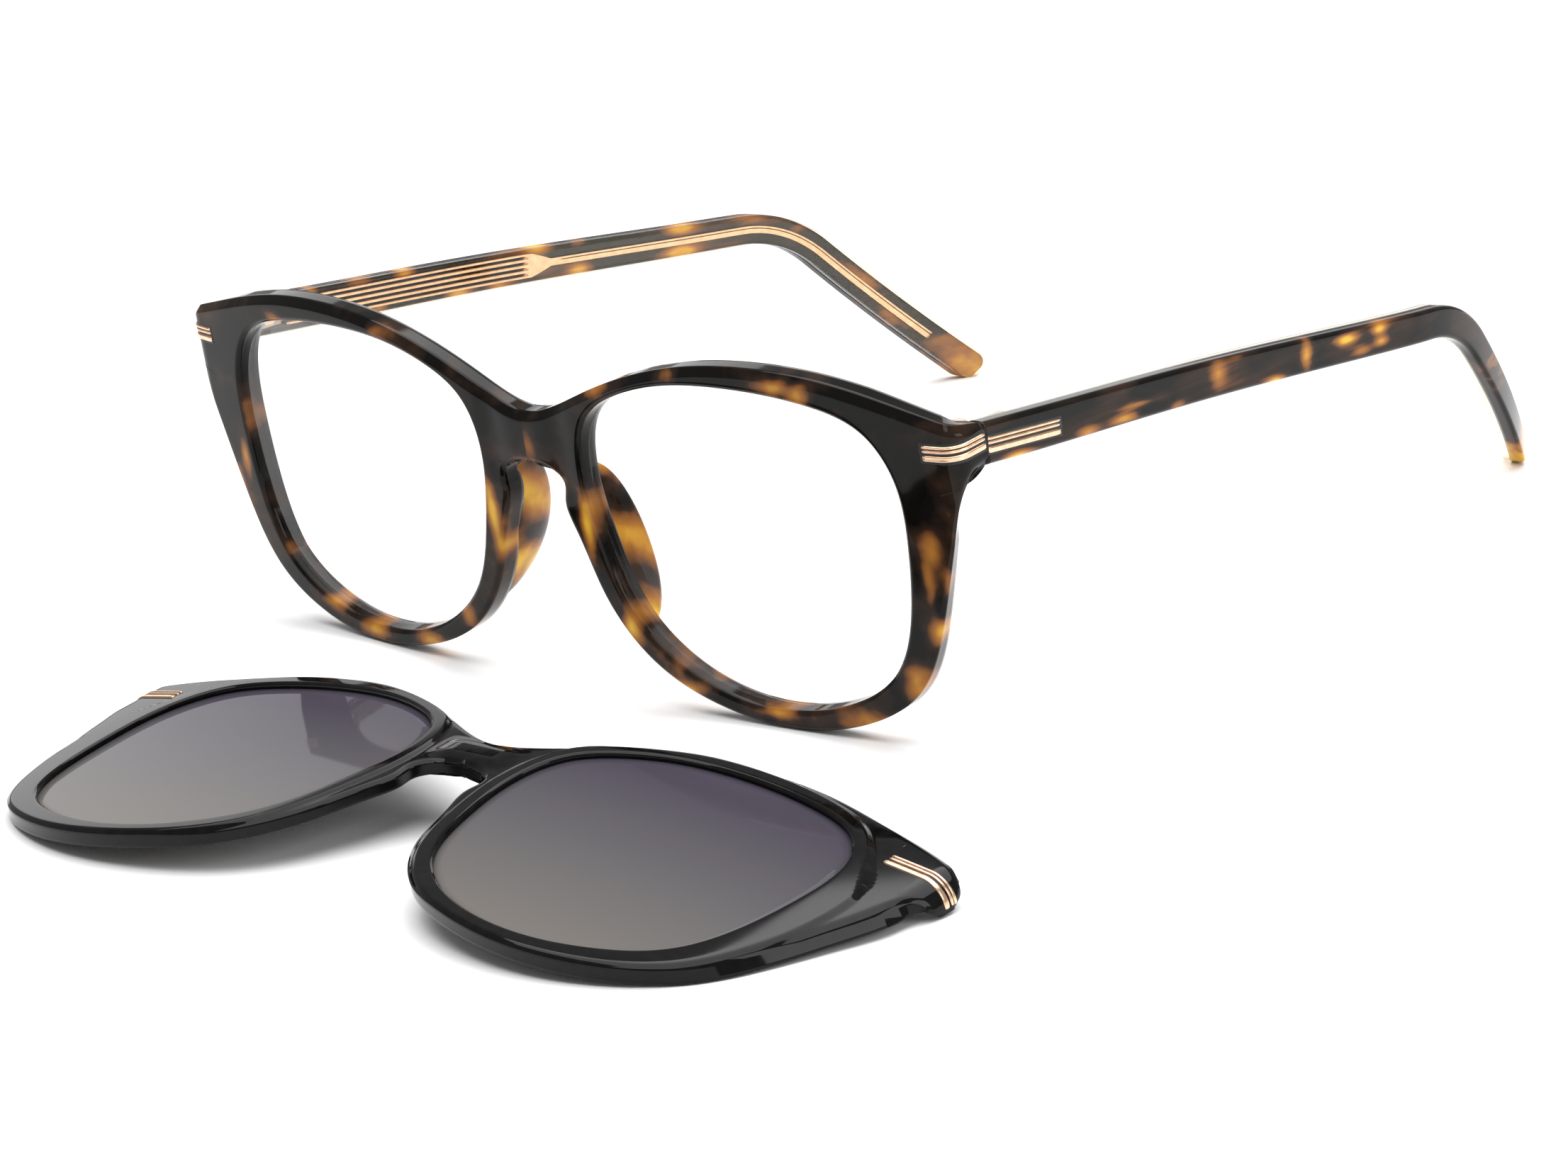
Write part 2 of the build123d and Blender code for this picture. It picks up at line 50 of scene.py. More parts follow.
# Front
LENS_WIDTH, LENS_HEIGHT, LENS_X = 53.3, 45.0, 36.25
RIM_SIDE, RIM_TOP, RIM_BOTTOM, RIM_NASAL = 70.9, 2.9, 2.3, 4.0
BRIDGE_MIDDLE, BRIDGE_HEIGHT = 11.7, 6.9
FACE_RADIUS, FRONT_THICKNESS, HALF_WIDTH = 427.0, 3.8, 72.5
SEAM_DEPTH, END_TOP, END_BOTTOM, END_TAPER = 12.0, 20.2, 13.0, 1.5
LENS_DEPTH, LENS_THICKNESS, CORNER, INNER_CORNER = 1.0, 1.8, 3.0, 1.0

# Clip
CLIP_RADIUS, CLIP_THICKNESS, CLIP_HALF_WIDTH = 429.7, 2.6, 74.0
CLIP_INSET, CLIP_LIP, CLIP_END_DEPTH, HOOK_INSIDE = 0.5, 0.7, 10.42, 72.8
CLIP_CORNER, CLIP_INNER_CORNER = 4.2, 0.6
CLIP_LENS_DEPTH, CLIP_LENS_THICKNESS, CLIP_STEP = 0.9, 1.1, 0.42

# Trims
TRIM_MIDDLE, TRIM_PROUD, TRIM_DEPTH = 16.4, 0.2, 0.6
TRIM_REACH, CLIP_TRIM_REACH, TEMPLE_TRIM_LENGTH = 5.0, 9.5, 15.0
TRIM_HALF_HEIGHT, TRIM_NOTCH, TRIM_VALLEY, TRIM_GAP = 1.2, 0.3, 0.12, 0.35
# Sizes of the dark plate of painted shade round each trim, standing for its shaded recess
SHADE_BED_HALF_HEIGHT, TEMPLE_SHADE_BED_HALF_HEIGHT, SHADE_BED_PROUD, SHADE_BED_DEPTH = 1.55, 1.5, 0.02, 0.3

# Temples
OUTER_LAYER, TEMPLE_THICKNESS, TEMPLE_HEIGHT, BEND_HEIGHT, TIP_RADIUS = 2.3, 3.6, 5.8, 4.5, 2.1
SEAM = (10.5435, 41.4188)
BEND = (117.673, 30.348)
TIP = (144.563, 2.1)
BEND_RADIUS, TOE_IN, EAR_START, SWEEP_RADIUS, TEMPLE_SLOPE = 22.0, 2.8, 94.0, 84.0, 5.9
CORE_THICKNESS, PLATE_START, PLATE_END, PLATE_POINT, PLATE_HEIGHT = 0.6, 9.2, 56.0, 5.0, 3.6
CORE_HEIGHT, CORE_LENGTH, BEND_RUN = 1.1, 138.0, 107.0

# Nose pads: start and tuck are their distance behind the face and into the rim
PAD_TOP, PAD_BOTTOM, PAD_BACK, PAD_WIDTH = 8.0, -15.0, 10.4, 3.2
PAD_START, PAD_TUCK, PAD_SPREAD, PAD_TURN = 2.0, 0.55, 1.5, 6.3

SIDES = ((1, "Left", "left"), (-1, "Right", "right"))
PLAIN = (1, 1, 1)

# Outlines of the left lens and rim, in shares of half their width and height from their middle
LENS_TOP = [
    (1.0, 0.133), (0.976, 0.533), (0.835, 0.80), (0.516, 0.949), (0.066, 1.0), (-0.347, 0.976),
    (-0.685, 0.871), (-0.921, 0.689), (-1.0, 0.356),
]
LENS_BOTTOM = [
    (-0.947, -0.067), (-0.797, -0.524), (-0.422, -0.876), (0.103, -0.996), (0.516, -0.898),
    (0.816, -0.667), (0.97, -0.2),
]
BROW_SHAPE = [(-0.865, 0.721), (-0.559, 0.876), (-0.253, 0.970), (0.054, 1.0), (0.36, 0.98), (0.666, 0.904)]
RIM_SHAPE = [
    (0.949, 0.024), (0.865, -0.315), (0.712, -0.693), (0.421, -0.92), (0.054, -1.0),
    (-0.314, -0.936), (-0.651, -0.737), (-0.865, -0.394), (-0.963, -0.056), (-1.0, 0.124),
]


# ---- Curves and placing --------------------------------------------------------------------------


def spline(points, count, closed=False):
    """Smooth curve through points: cubic pieces spaced by chord length, whose second derivatives meet."""
    p = np.array(points, float)
    if closed:
        p = np.vstack([p, p[:1]])
    h = np.linalg.norm(np.diff(p, axis=0), axis=1)
    u = np.concatenate([[0.0], np.cumsum(h)])
    n = len(p)
    rows, right = np.eye(n), np.zeros_like(p)
    slope = np.diff(p, axis=0) / h[:, None]
    i = np.arange(1, n - 1)
    rows[i, i - 1], rows[i, i], rows[i, i + 1] = h[i - 1], 2 * (h[i - 1] + h[i]), h[i]
    right[i] = 6 * (slope[i] - slope[i - 1])
    if closed:
        rows[0, 0], rows[0, 1], rows[0, -2] = 2 * (h[0] + h[-1]), h[0], h[-1]
        right[0] = 6 * (slope[0] - slope[-1])
        rows[-1, 0] = -1.0
    bend = np.linalg.solve(rows, right)
    s = np.linspace(0, u[-1], count, endpoint=not closed)
    k = np.clip(np.searchsorted(u, s, side="right") - 1, 0, n - 2)
    b = ((s - u[k]) / h[k])[:, None]
    a = 1 - b
    curve = ((a**3 - a) * bend[k] + (b**3 - b) * bend[k + 1]) * h[k][:, None] ** 2 / 6
    return a * p[k] + b * p[k + 1] + curve


def resample(line, count):
    """The same line with points at equal distances."""
    run = np.concatenate([[0.0], np.cumsum(np.linalg.norm(np.diff(line, axis=0), axis=1))])
    s = np.linspace(0, run[-1], count)
    return np.stack([np.interp(s, run, line[:, c]) for c in range(line.shape[1])], axis=1)


def distance(points, line):
    """Distance from each point to the nearest place on a line of short straight pieces."""
    a, b = line[:-1], line[1:]
    d = b - a
    size = (d**2).sum(1)
    best = np.full(len(points), np.inf)
    for first in range(0, len(points), 4000):
        p = points[first : first + 4000, None, :]
        t = np.clip(((p - a) * d).sum(2) / size, 0, 1)
        gap = p - (a + t[..., None] * d)
        best[first : first + 4000] = np.sqrt((gap**2).sum(2)).min(1)
    return best


def ease(x):
    """0 below 0, 1 above 1, and a smooth S between."""
    x = np.clip(x, 0, 1)
    return x * x * (3 - 2 * x)


def soft_max(x, softness):
    """x where positive and 0 where negative, with a rounded corner."""
    return (x + np.sqrt(x * x + softness**2)) / 2


def place(points, origin, lean):
    """Local (across, back, up) in mm to the shared frame in metres, turned by the lean about X."""
    a = np.radians(lean)
    x, b, z = points[..., 0], points[..., 1], points[..., 2]
    y = b * np.cos(a) - z * np.sin(a)
    return np.stack([x + origin[0], y + origin[1], b * np.sin(a) + z * np.cos(a) + origin[2]], -1) * MM


def on_glasses(points):
    """From the front of the glasses to the shared frame."""
    return place(points, (MIDDLE[0], MIDDLE[1], STAND_HEIGHT), LEAN)


def on_clip(points):
    """From the clip's face to the shared frame."""
    return place(points, (MIDDLE[0] + CLIP_SHIFT[0], MIDDLE[1] + CLIP_SHIFT[1], CLIP_HEIGHT), CLIP_LEAN)


def on_table(points):
    """From level millimetres beside the glasses to the shared frame."""
    return place(points, (MIDDLE[0], MIDDLE[1], 0), 0)


def lens_points(grow=0.0):
    """Lens outline on the left side, in mm, counter-clockwise from its widest point at the temple."""
    wide, high = LENS_WIDTH / 2 + grow, LENS_HEIGHT / 2 + grow
    return [(LENS_X + u * wide, v * high) for u, v in LENS_TOP + LENS_BOTTOM]


def rim_points(shape, inset):
    """Points of the rim's outer edge on the left side, drawn in by the inset."""
    low, high = LENS_X - LENS_WIDTH / 2 - RIM_NASAL + inset, RIM_SIDE - inset
    top, bottom = LENS_HEIGHT / 2 + RIM_TOP - inset, -LENS_HEIGHT / 2 - RIM_BOTTOM + inset
    return [((low + high + u * (high - low)) / 2, (top + bottom + v * (top - bottom)) / 2) for u, v in shape]


class Wrap:
    """A curved face that turns back round its outer corner: s runs along the outside, depth goes inwards."""

    def __init__(self, radius, side, corner, thickness, inside, inner_corner, end, blend=58.0):
        self.thickness, self.blend = thickness, blend
        self.outer = (radius, radius, side, corner, end)
        self.inner = (radius, radius - thickness, inside, inner_corner, end)
        self.face, self.turn, self.straight = self.stages(*self.outer)
        self.length = self.face + self.turn + self.straight

    def stages(self, radius, rho, side, corner, end):
        centre_b = radius - np.sqrt((rho - corner) ** 2 - (side - corner) ** 2)
        face = (side - corner) * rho / (rho - corner)
        turn = corner * (np.pi / 2 - np.arcsin(face / rho))
        return face, turn, end - centre_b

    def walk(self, path, x, turn, straight):
        """Point on one path: along the face to x, then a share of the corner, then a share of the side."""
        radius, rho, side, corner, end = path
        face = self.stages(*path)[0]
        centre_b = radius - np.sqrt((rho - corner) ** 2 - (side - corner) ** 2)
        start = np.arcsin(face / rho)
        angle = start + turn * (np.pi / 2 - start)
        on_face = np.minimum(x, face)
        px = np.where(turn > 0, side - corner + corner * np.sin(angle), on_face)
        pb = np.where(turn > 0, centre_b - corner * np.cos(angle), radius - np.sqrt(rho**2 - on_face**2))
        return px, pb + straight * (end - centre_b)

    def at(self, s, z, depth):
        """Local points for distance s along the outside, height z and depth below it."""
        s, z, depth = np.broadcast_arrays(s, z, depth)
        turn = np.clip((s - self.face) / self.turn, 0, 1)
        straight = np.clip((s - self.face - self.turn) / self.straight, 0, None)
        inner_face = self.stages(*self.inner)[0]
        share = (s - self.blend) / (self.face - self.blend)
        inner_x = np.where(s > self.blend, self.blend + share * (inner_face - self.blend), s)
        out = self.walk(self.outer, s, turn, straight)
        back = self.walk(self.inner, inner_x, turn, straight)
        k = depth / self.thickness
        return np.stack([out[0] + k * (back[0] - out[0]), out[1] + k * (back[1] - out[1]), z], -1)


GLASSES_WRAP = Wrap(
    FACE_RADIUS, HALF_WIDTH, CORNER, FRONT_THICKNESS, HALF_WIDTH - TEMPLE_THICKNESS, INNER_CORNER, SEAM_DEPTH
)
CLIP_WRAP = Wrap(
    CLIP_RADIUS, CLIP_HALF_WIDTH, CLIP_CORNER, CLIP_THICKNESS, HOOK_INSIDE, CLIP_INNER_CORNER, CLIP_END_DEPTH
)


# ---- Meshes --------------------------------------------------------------------------------------


def grid_faces(rows, columns, closed_rows=False, closed_columns=False):
    """Four-sided faces between neighbouring points of a rows x columns grid."""
    i = np.arange(rows if closed_rows else rows - 1)[:, None]
    j = np.arange(columns if closed_columns else columns - 1)[None, :]
    a = i * columns + j
    b = ((i + 1) % rows) * columns + j
    c = ((i + 1) % rows) * columns + (j + 1) % columns
    d = i * columns + (j + 1) % columns
    return np.stack(np.broadcast_arrays(a, b, c, d), -1).reshape(-1, 4)


def solid_mesh(name, points, faces, values=None):
    """A mesh object at the origin whose faces look outwards; unused points are dropped."""
    used = np.zeros(len(points), bool)
    used[faces.ravel()] = True
    index = np.cumsum(used) - 1
    points, faces = points[used], index[faces]
    p = points - points.mean(0)
    volume = 0.0
    for k in range(1, faces.shape[1] - 1):
        volume += (p[faces[:, 0]] * np.cross(p[faces[:, k]], p[faces[:, k + 1]])).sum()
    if volume < 0:
        faces = faces[:, ::-1]
    mesh = bpy.data.meshes.new(name)
    mesh.from_pydata(points.tolist(), [], faces.tolist())
    mesh.polygons.foreach_set("use_smooth", [True] * len(mesh.polygons))
    for key, value in (values or {}).items():
        layer = mesh.attributes.new(key, "FLOAT", "POINT")
        layer.data.foreach_set("value", np.asarray(value, np.float32).ravel()[used])
    mesh.update()
    thing = bpy.data.objects.new(name, mesh)
    bpy.context.scene.collection.objects.link(thing)
    return thing


def tube(name, sections, values=None):
    """Closed loops of points carried along a path, with a flat cap of one fan at each end."""
    count, loop = sections.shape[:2]
    faces = grid_faces(count, loop, closed_columns=True)
    ends = np.stack([sections[0].mean(0), sections[-1].mean(0)])
    points = np.vstack([sections.reshape(-1, 3), ends])
    k = np.arange(loop)
    after = (k + 1) % loop
    base = (count - 1) * loop
    first_fan = np.stack([np.full(loop, count * loop), k, after], -1)
    last_fan = np.stack([np.full(loop, count * loop + 1), base + after, base + k], -1)
    faces = np.vstack([faces[:, [0, 1, 2]], faces[:, [0, 2, 3]], first_fan, last_fan])
    grown = None
    if values:
        grown = {}
        for key, value in values.items():
            v = np.asarray(value, float)
            grown[key] = np.concatenate([v.ravel(), [v[0].mean(), v[-1].mean()]])
    return solid_mesh(name, points, faces, grown)


def mirrored(points, about):
    """The mirror image in a plane of constant X."""
    twin = points.copy()
    twin[..., 0] = 2 * about * MM - twin[..., 0]
    return twin


def dress(thing, material, body, slot, *nodes):
    """Give a piece its material and the body it rides on, and hide the nodes it stands for; the slot is not
    used.
    """
    thing.data.materials.append(material)
    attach(thing, body)
    if nodes:
        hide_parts(*nodes)


# ---- Materials -----------------------------------------------------------------------------------


def shader(name, **settings):
    """A material with its surface settings; underscores stand for the spaces in their names."""
    material = bpy.data.materials.new(name)
    material.use_nodes = True
    surface = material.node_tree.nodes["Principled BSDF"]
    for key, value in settings.items():
        surface.inputs[key.replace("_", " ")].default_value = value
    return material, material.node_tree, surface


def node(tree, kind, **settings):
    """A new node, with each setting put on its input of that name or else on the node."""
    made = tree.nodes.new(kind)
    for key, value in settings.items():
        if key in made.inputs:
            made.inputs[key].default_value = value
        else:
            setattr(made, key, value)
    return made


def ramp(tree, factor, stops):
    """Colours at positions from 0 to 1, blended between."""
    made = tree.nodes.new("ShaderNodeValToRGB")
    while len(made.color_ramp.elements) < len(stops):
        made.color_ramp.elements.new(0.5)
    for element, (position, colour) in zip(made.color_ramp.elements, stops):
        element.position = position
        element.color = (*colour, 1)
    tree.links.new(factor, made.inputs["Fac"])
    return made.outputs["Color"]


def noise(tree, stretch, scale, detail=2.0, distortion=0.0):
    """Noise over the object's own coordinates, drawn out by stretch along each axis."""
    place_node = node(tree, "ShaderNodeTexCoord")
    mapping = node(tree, "ShaderNodeMapping")
    mapping.inputs["Scale"].default_value = stretch
    texture = node(tree, "ShaderNodeTexNoise", Scale=scale, Detail=detail, Distortion=distortion)
    tree.links.new(place_node.outputs["Object"], mapping.inputs["Vector"])
    tree.links.new(mapping.outputs["Vector"], texture.inputs["Vector"])
    return texture.outputs["Fac"]


def combine(tree, first, second, operation="ADD"):
    """Two values, or a value and a number, added or put through another operation."""
    made = node(tree, "ShaderNodeMath", operation=operation)
    for k, value in enumerate((first, second)):
        if isinstance(value, float):
            made.inputs[k].default_value = value
        else:
            tree.links.new(value, made.inputs[k])
    return made.outputs[0]


def havana(name, stretch, streaks):
    """Dark tortoise acetate: noise plus the mesh's own patch values, through a brown to amber ramp."""
    material, tree, surface = shader(name, Roughness=0.06, IOR=1.5, Specular_IOR_Level=0.15)
    patch = node(tree, "ShaderNodeAttribute", attribute_name="patch").outputs["Fac"]
    broad = noise(tree, stretch, 95.0, 2.0, 0.6)
    fine = noise(tree, streaks, 260.0, 2.0, 0.2)
    broad = combine(tree, broad, 0.75, "MULTIPLY")
    fine = combine(tree, fine, 0.30, "MULTIPLY")
    total = combine(tree, combine(tree, broad, fine), patch)
    colour = ramp(
        tree,
        total,
        [
            (0.40, (0.004, 0.0035, 0.003)),
            (0.55, (0.030, 0.016, 0.010)),
            (0.64, (0.17, 0.066, 0.022)),
            (0.78, (0.38, 0.15, 0.026)),
            (1.00, (0.80, 0.46, 0.05)),
        ],
    )
    tree.links.new(colour, surface.inputs["Base Color"])
    return material


def speckled(tree, surface, scale, low, high):
    """Surface colour that wavers finely between two close tones."""
    tones = ramp(tree, noise(tree, PLAIN, scale, 3.0), [(0.3, low), (0.7, high)])
    tree.links.new(tones, surface.inputs["Base Color"])


def metal(name, dark, light, roughness):
    """Brushed metal, with painted shade: where the mesh marks a groove it turns almost black."""
    material, tree, surface = shader(name, Metallic=1.0, Roughness=roughness)
    # Painted shade: this value darkens the colour towards black in grooves and valleys
    groove_shade = node(tree, "ShaderNodeAttribute", attribute_name="groove_shade").outputs["Fac"]
    brushed = combine(tree, noise(tree, PLAIN, 900.0, 3.0), 0.4, "MULTIPLY")
    total = combine(tree, groove_shade, brushed)
    # The last two stops are the painted shade of the grooves
    stops = [(0.1, light), (0.32, dark), (0.75, (0.16, 0.08, 0.04)), (1.0, (0.02, 0.01, 0.008))]
    tree.links.new(ramp(tree, total, stops), surface.inputs["Base Color"])
    return material


front_havana = havana("HavanaFront", PLAIN, PLAIN)
temple_havana = havana("HavanaTemple", (1.4, 0.55, 1.4), (3.0, 0.12, 3.0))
rose_gold = metal("RoseGold", (0.74, 0.47, 0.30), (0.92, 0.65, 0.46), 0.24)
steel = metal("HingeMetal", (0.55, 0.42, 0.33), (0.78, 0.62, 0.50), 0.25)
magnet_metal = metal("MagnetMetal", (0.35, 0.35, 0.36), (0.55, 0.55, 0.56), 0.35)

gloss_black, tree, surface = shader("GlossBlack", Roughness=0.05, IOR=1.5, Specular_IOR_Level=0.18)
speckled(tree, surface, 700.0, (0.002, 0.002, 0.0022), (0.005, 0.005, 0.0055))

# Painted shade: near-black plate colour standing for the shade in the recess round each trim
painted_recess_shade, tree, surface = shader("RecessShade", Roughness=0.5)
speckled(tree, surface, 700.0, (0.001, 0.001, 0.001), (0.004, 0.003, 0.003))

sun_tint, tree, surface = shader("SunTint", Roughness=0.04, IOR=1.5, Specular_IOR_Level=0.05, Alpha=0.965)
shade = node(tree, "ShaderNodeAttribute", attribute_name="shade").outputs["Fac"]
shade = combine(tree, shade, combine(tree, noise(tree, PLAIN, 60.0), 0.03, "MULTIPLY"))
tones = [(0.0, (0.160, 0.146, 0.132)), (0.45, (0.106, 0.101, 0.106)), (0.9, (0.056, 0.049, 0.067))]
tree.links.new(ramp(tree, shade, tones), surface.inputs["Base Color"])


def clear(name, tint, base, roughness):
    """See-through layer: light passes straight through with a slight tint, under a mirror gloss."""
    material = bpy.data.materials.new(name)
    material.use_nodes = True
    tree = material.node_tree
    tree.nodes.remove(tree.nodes["Principled BSDF"])
    out = tree.nodes["Material Output"]
    gloss = node(tree, "ShaderNodeBsdfGlossy", Roughness=roughness)
    through = node(tree, "ShaderNodeBsdfTransparent")
    pale = tuple(min(1, c * 1.01) for c in tint)
    grain = ramp(tree, noise(tree, PLAIN, 40.0), [(0.3, tint), (0.7, pale)])
    tree.links.new(grain, through.inputs["Color"])
    facing = node(tree, "ShaderNodeLayerWeight", Blend=0.5).outputs["Facing"]
    rise = combine(tree, facing, 4.0, "POWER")
    rise = combine(tree, combine(tree, rise, 1.0 - base, "MULTIPLY"), base)
    mix = node(tree, "ShaderNodeMixShader")
    tree.links.new(rise, mix.inputs[0])
    tree.links.new(through.outputs[0], mix.inputs[1])
    tree.links.new(gloss.outputs[0], mix.inputs[2])
    tree.links.new(mix.outputs[0], out.inputs["Surface"])
    return material


clear_lens = clear("ClearLens", (0.985, 0.985, 0.985), 0.015, 0.02)
clear_layer = clear("ClearLayer", (0.97, 0.93, 0.84), 0.04, 0.06)


# ---- Front and clip: one ring of sections round each lens, halves joined in the middle -----------


def outline(inset, end_points, under_points):
    """Outer edge of the left half in four runs: up the middle, over the brow, down the end, back below."""
    top = (0.0, BRIDGE_MIDDLE + (BRIDGE_HEIGHT - inset) / 2)
    under = (0.0, BRIDGE_MIDDLE - (BRIDGE_HEIGHT - inset) / 2)
    brow = rim_points(BROW_SHAPE, inset)
    rim = rim_points(RIM_SHAPE, inset)
    middle = np.stack([np.zeros(25), np.linspace(under[1], top[1], 25)], 1)
    over = spline([(-brow[0][0], brow[0][1]), top, *brow, *end_points], 1400)
    over = resample(over[over[:, 0] >= 0], 230)
    over[0] = top
    lead = (rim[-1][0] + 0.2, rim[-1][1] + 2.2)
    turn = (under[0] + 2.6, under[1] - 0.2)
    below = spline([*under_points, *rim, lead, turn, under, (-turn[0], turn[1])], 2400)
    below = resample(below[below[:, 0] >= 0], 340)
    below[-1] = under
    end = resample(np.array([over[-1], below[0]]), 16)
    return middle, over, end, below


def ring_plate(
    name, wrap, settle, inset, lip, end_points, under_points, rows_across, front_depth, back_depth, patch
):
    """The plate between one lens opening and the outer edge, doubled by its mirror image.

    Rays from the lens centre pair points of the two edges. Each pair carries a closed section: across the
    front, down the outer wall, across the back, up the inner wall. Depths come from the distances to both
    edges.
    """
    middle, over, end, below = outline(inset, end_points, under_points)
    outer = np.vstack([middle[:-1], over[:-1], end[:-1], below[:-1]])
    inner_line = spline(lens_points(-lip), 1200, closed=True)
    turn_in = np.unwrap(np.arctan2(inner_line[:, 1], inner_line[:, 0] - LENS_X))
    turn_out = np.unwrap(np.arctan2(outer[:, 1], outer[:, 0] - LENS_X))
    turn_out = np.minimum.accumulate(turn_out - 1e-5 * np.arange(len(turn_out)))
    kernel = np.hanning(23)
    padded = np.concatenate([turn_out[-30:] + 2 * np.pi, turn_out, turn_out[:30] - 2 * np.pi])
    turn_out = np.convolve(padded, kernel / kernel.sum(), "same")[30:-30]
    spin = np.mod(turn_out - turn_in[0], 2 * np.pi) + turn_in[0]
    order = np.append(turn_in, turn_in[0] + 2 * np.pi)
    loop = np.vstack([inner_line, inner_line[:1]])
    inner = np.stack([np.interp(spin, order, loop[:, c]) for c in (0, 1)], 1)

    width = np.linalg.norm(outer - inner, axis=1)[:, None]
    near = np.array([0.0, 0.06, 0.14, 0.24, 0.36, 0.5, 0.68, 0.9, 1.2])
    scale = np.minimum(1, width / 3.2)
    inside = near * scale
    outside = width - near[::-1] * scale
    across = inside[:, -1:] + (outside[:, :1] - inside[:, -1:]) * np.linspace(0, 1, rows_across)[1:-1]
    run = np.hstack([inside, across, outside])
    flat = inner[:, None] + (outer - inner)[:, None] * (run / width)[..., None]
    shape = flat.shape[:2]
    points = flat.reshape(-1, 2)
    edge_gap = np.minimum(distance(points, over[::2]), distance(points, below[::2])).reshape(shape)
    lens_gap = distance(points, loop[::2]).reshape(shape)
    front = front_depth(flat[..., 0], flat[..., 1], edge_gap, lens_gap)
    back = back_depth(flat[..., 0], flat[..., 1], edge_gap, lens_gap)
    steps = np.linspace(0, 1, 6)[1:-1]
    wall = front[:, -1:] + (back[:, -1:] - front[:, -1:]) * steps
    inner_wall = back[:, :1] + (front[:, :1] - back[:, :1]) * steps
    last = flat.shape[1] - 1
    ends = np.array([0, 1, 3, 5, 8])
    few = np.unique(np.concatenate([ends, np.linspace(8, last - 8, 5).astype(int), last - ends]))
    order = np.concatenate([np.arange(last + 1), np.full(4, last), few[::-1], np.zeros(4, int)])
    s, z = flat[:, order, 0], flat[:, order, 1]
    depth = np.hstack([front, wall, back[:, few[::-1]], inner_wall])
    local = wrap.at(s, z, depth)
    local[..., 0] = np.where(s < 1e-9, 0.0, local[..., 0])
    rows, columns = s.shape
    faces = grid_faces(rows, columns, True, True)
    local = local.reshape(-1, 3)
    faces = faces[~(local[faces][..., 0] == 0).all(1)]
    count = len(local)
    twin = local * (-1, 1, 1)
    shared = np.where(local[:, 0] == 0, np.arange(count), np.arange(count) + count)
    points = settle(np.vstack([local, twin]))
    faces = np.vstack([faces, shared[faces][:, ::-1]])
    own = np.stack([s.ravel(), z.ravel(), depth.ravel()], 1)
    values = np.concatenate([patch(own, 1), patch(own, -1)])
    return solid_mesh(name, points, faces, {"patch": values})


# Amber patches of the front: across, up, half width, half height, strength; then the same for the right half
FRONT_PATCHES = {
    1: [
        (13.5, 20.2, 2.6, 1.5, 0.30), (28.0, 23.6, 2.0, 1.4, 0.22), (45.5, 23.6, 3.6, 1.1, 0.40),
        (50.0, 22.2, 2.0, 1.6, 0.36), (9.3, 0.5, 1.2, 6.0, 0.44), (14.6, -13.5, 1.4, 3.0, 0.42),
        (24.0, -21.2, 3.4, 1.1, 0.30), (53.0, -22.6, 5.0, 1.6, 0.36), (62.0, -16.0, 2.4, 3.0, 0.28),
        (66.6, 3.8, 1.6, 3.2, 0.30), (65.6, -1.6, 0.9, 3.5, 0.22), (68.6, -3.0, 0.7, 4.0, 0.22),
        (66.4, -8.4, 2.0, 2.0, 0.46), (62.8, 10.0, 0.6, 2.2, 0.24), (0.5, 11.2, 1.6, 2.6, 0.16),
        (38.0, -22.8, 3.6, 0.7, 0.26), (66.8, -4.6, 0.9, 1.6, -0.30),
    ],
    -1: [
        (9.0, 0.0, 1.1, 4.6, 0.44), (17.5, 17.5, 2.4, 1.1, 0.32), (28.0, 23.0, 2.2, 1.2, 0.20),
        (50.0, 22.0, 3.2, 1.7, 0.36), (62.6, 5.0, 0.7, 3.4, 0.32), (64.4, -1.5, 1.2, 3.2, 0.40),
        (57.5, -13.6, 1.4, 2.0, 0.42), (48.0, -20.2, 2.8, 1.1, 0.40), (40.0, -23.0, 3.2, 1.3, 0.40),
        (27.0, -22.2, 3.4, 1.7, 0.44), (18.0, -17.0, 1.7, 2.6, 0.34), (8.3, -6.0, 1.1, 3.4, 0.32),
        (67.0, -6.5, 0.8, 3.0, 0.24),
    ],
}


def front_patch(own, side):
    """Sum of soft ellipses, minus a little along the brow so that it stays mostly dark."""
    total = -0.08 - 0.04 * ease((own[:, 1] - 4) / 8)
    for x, z, wide, high, strength in FRONT_PATCHES[side]:
        total = total + strength * np.exp(-(((own[:, 0] - x) / wide) ** 2) - ((own[:, 1] - z) / high) ** 2)
    return total


def plain_patch(own, side):
    """No patches."""
    return np.zeros(len(own))


def glasses_front_depth(s, z, edge, lens):
    """Flat face with a broad chamfer along the brow, a narrow one elsewhere, and hollows by the bridge."""
    chamfer = 0.45 + 0.65 * ease((z - 9) / 6)
    out = 0.75 * soft_max(chamfer - edge, 0.12)
    into = 0.9 * soft_max(0.42 - lens, 0.08)
    hollow = 0.30 * np.exp(-(((s - 6.4) / 2.4) ** 2)) * ease((z - 2) / 5)
    return out + into + hollow


def glasses_back_depth(s, z, edge, lens):
    """Flat back with rounded edges."""
    return FRONT_THICKNESS - 0.6 * soft_max(0.6 - edge, 0.15) - 0.7 * soft_max(0.4 - lens, 0.1)


front = ring_plate(
    "FrontPlate", GLASSES_WRAP, on_glasses, 0.0, 0.0,
    [(RIM_SIDE, END_TOP), (74.0, 19.45), (GLASSES_WRAP.length, END_TOP - END_TAPER)],
    [(GLASSES_WRAP.length, END_BOTTOM), (75.6, 12.9), (73.6, 12.0), (72.1, 9.9), (70.9, 6.4)],
    22, glasses_front_depth, glasses_back_depth, front_patch,
)
dress(front, front_havana, "front", "havana", "front")

# Width of the raised band round a clip lens, by direction from the lens centre
BAND = [
    (-180, 1.9), (-120, 2.2), (-80, 2.6), (-50, 3.6), (-25, 4.6), (4, 5.0), (12, 4.8), (20, 3.6), (27, 2.3),
    (36, 1.8), (180, 1.9),
]


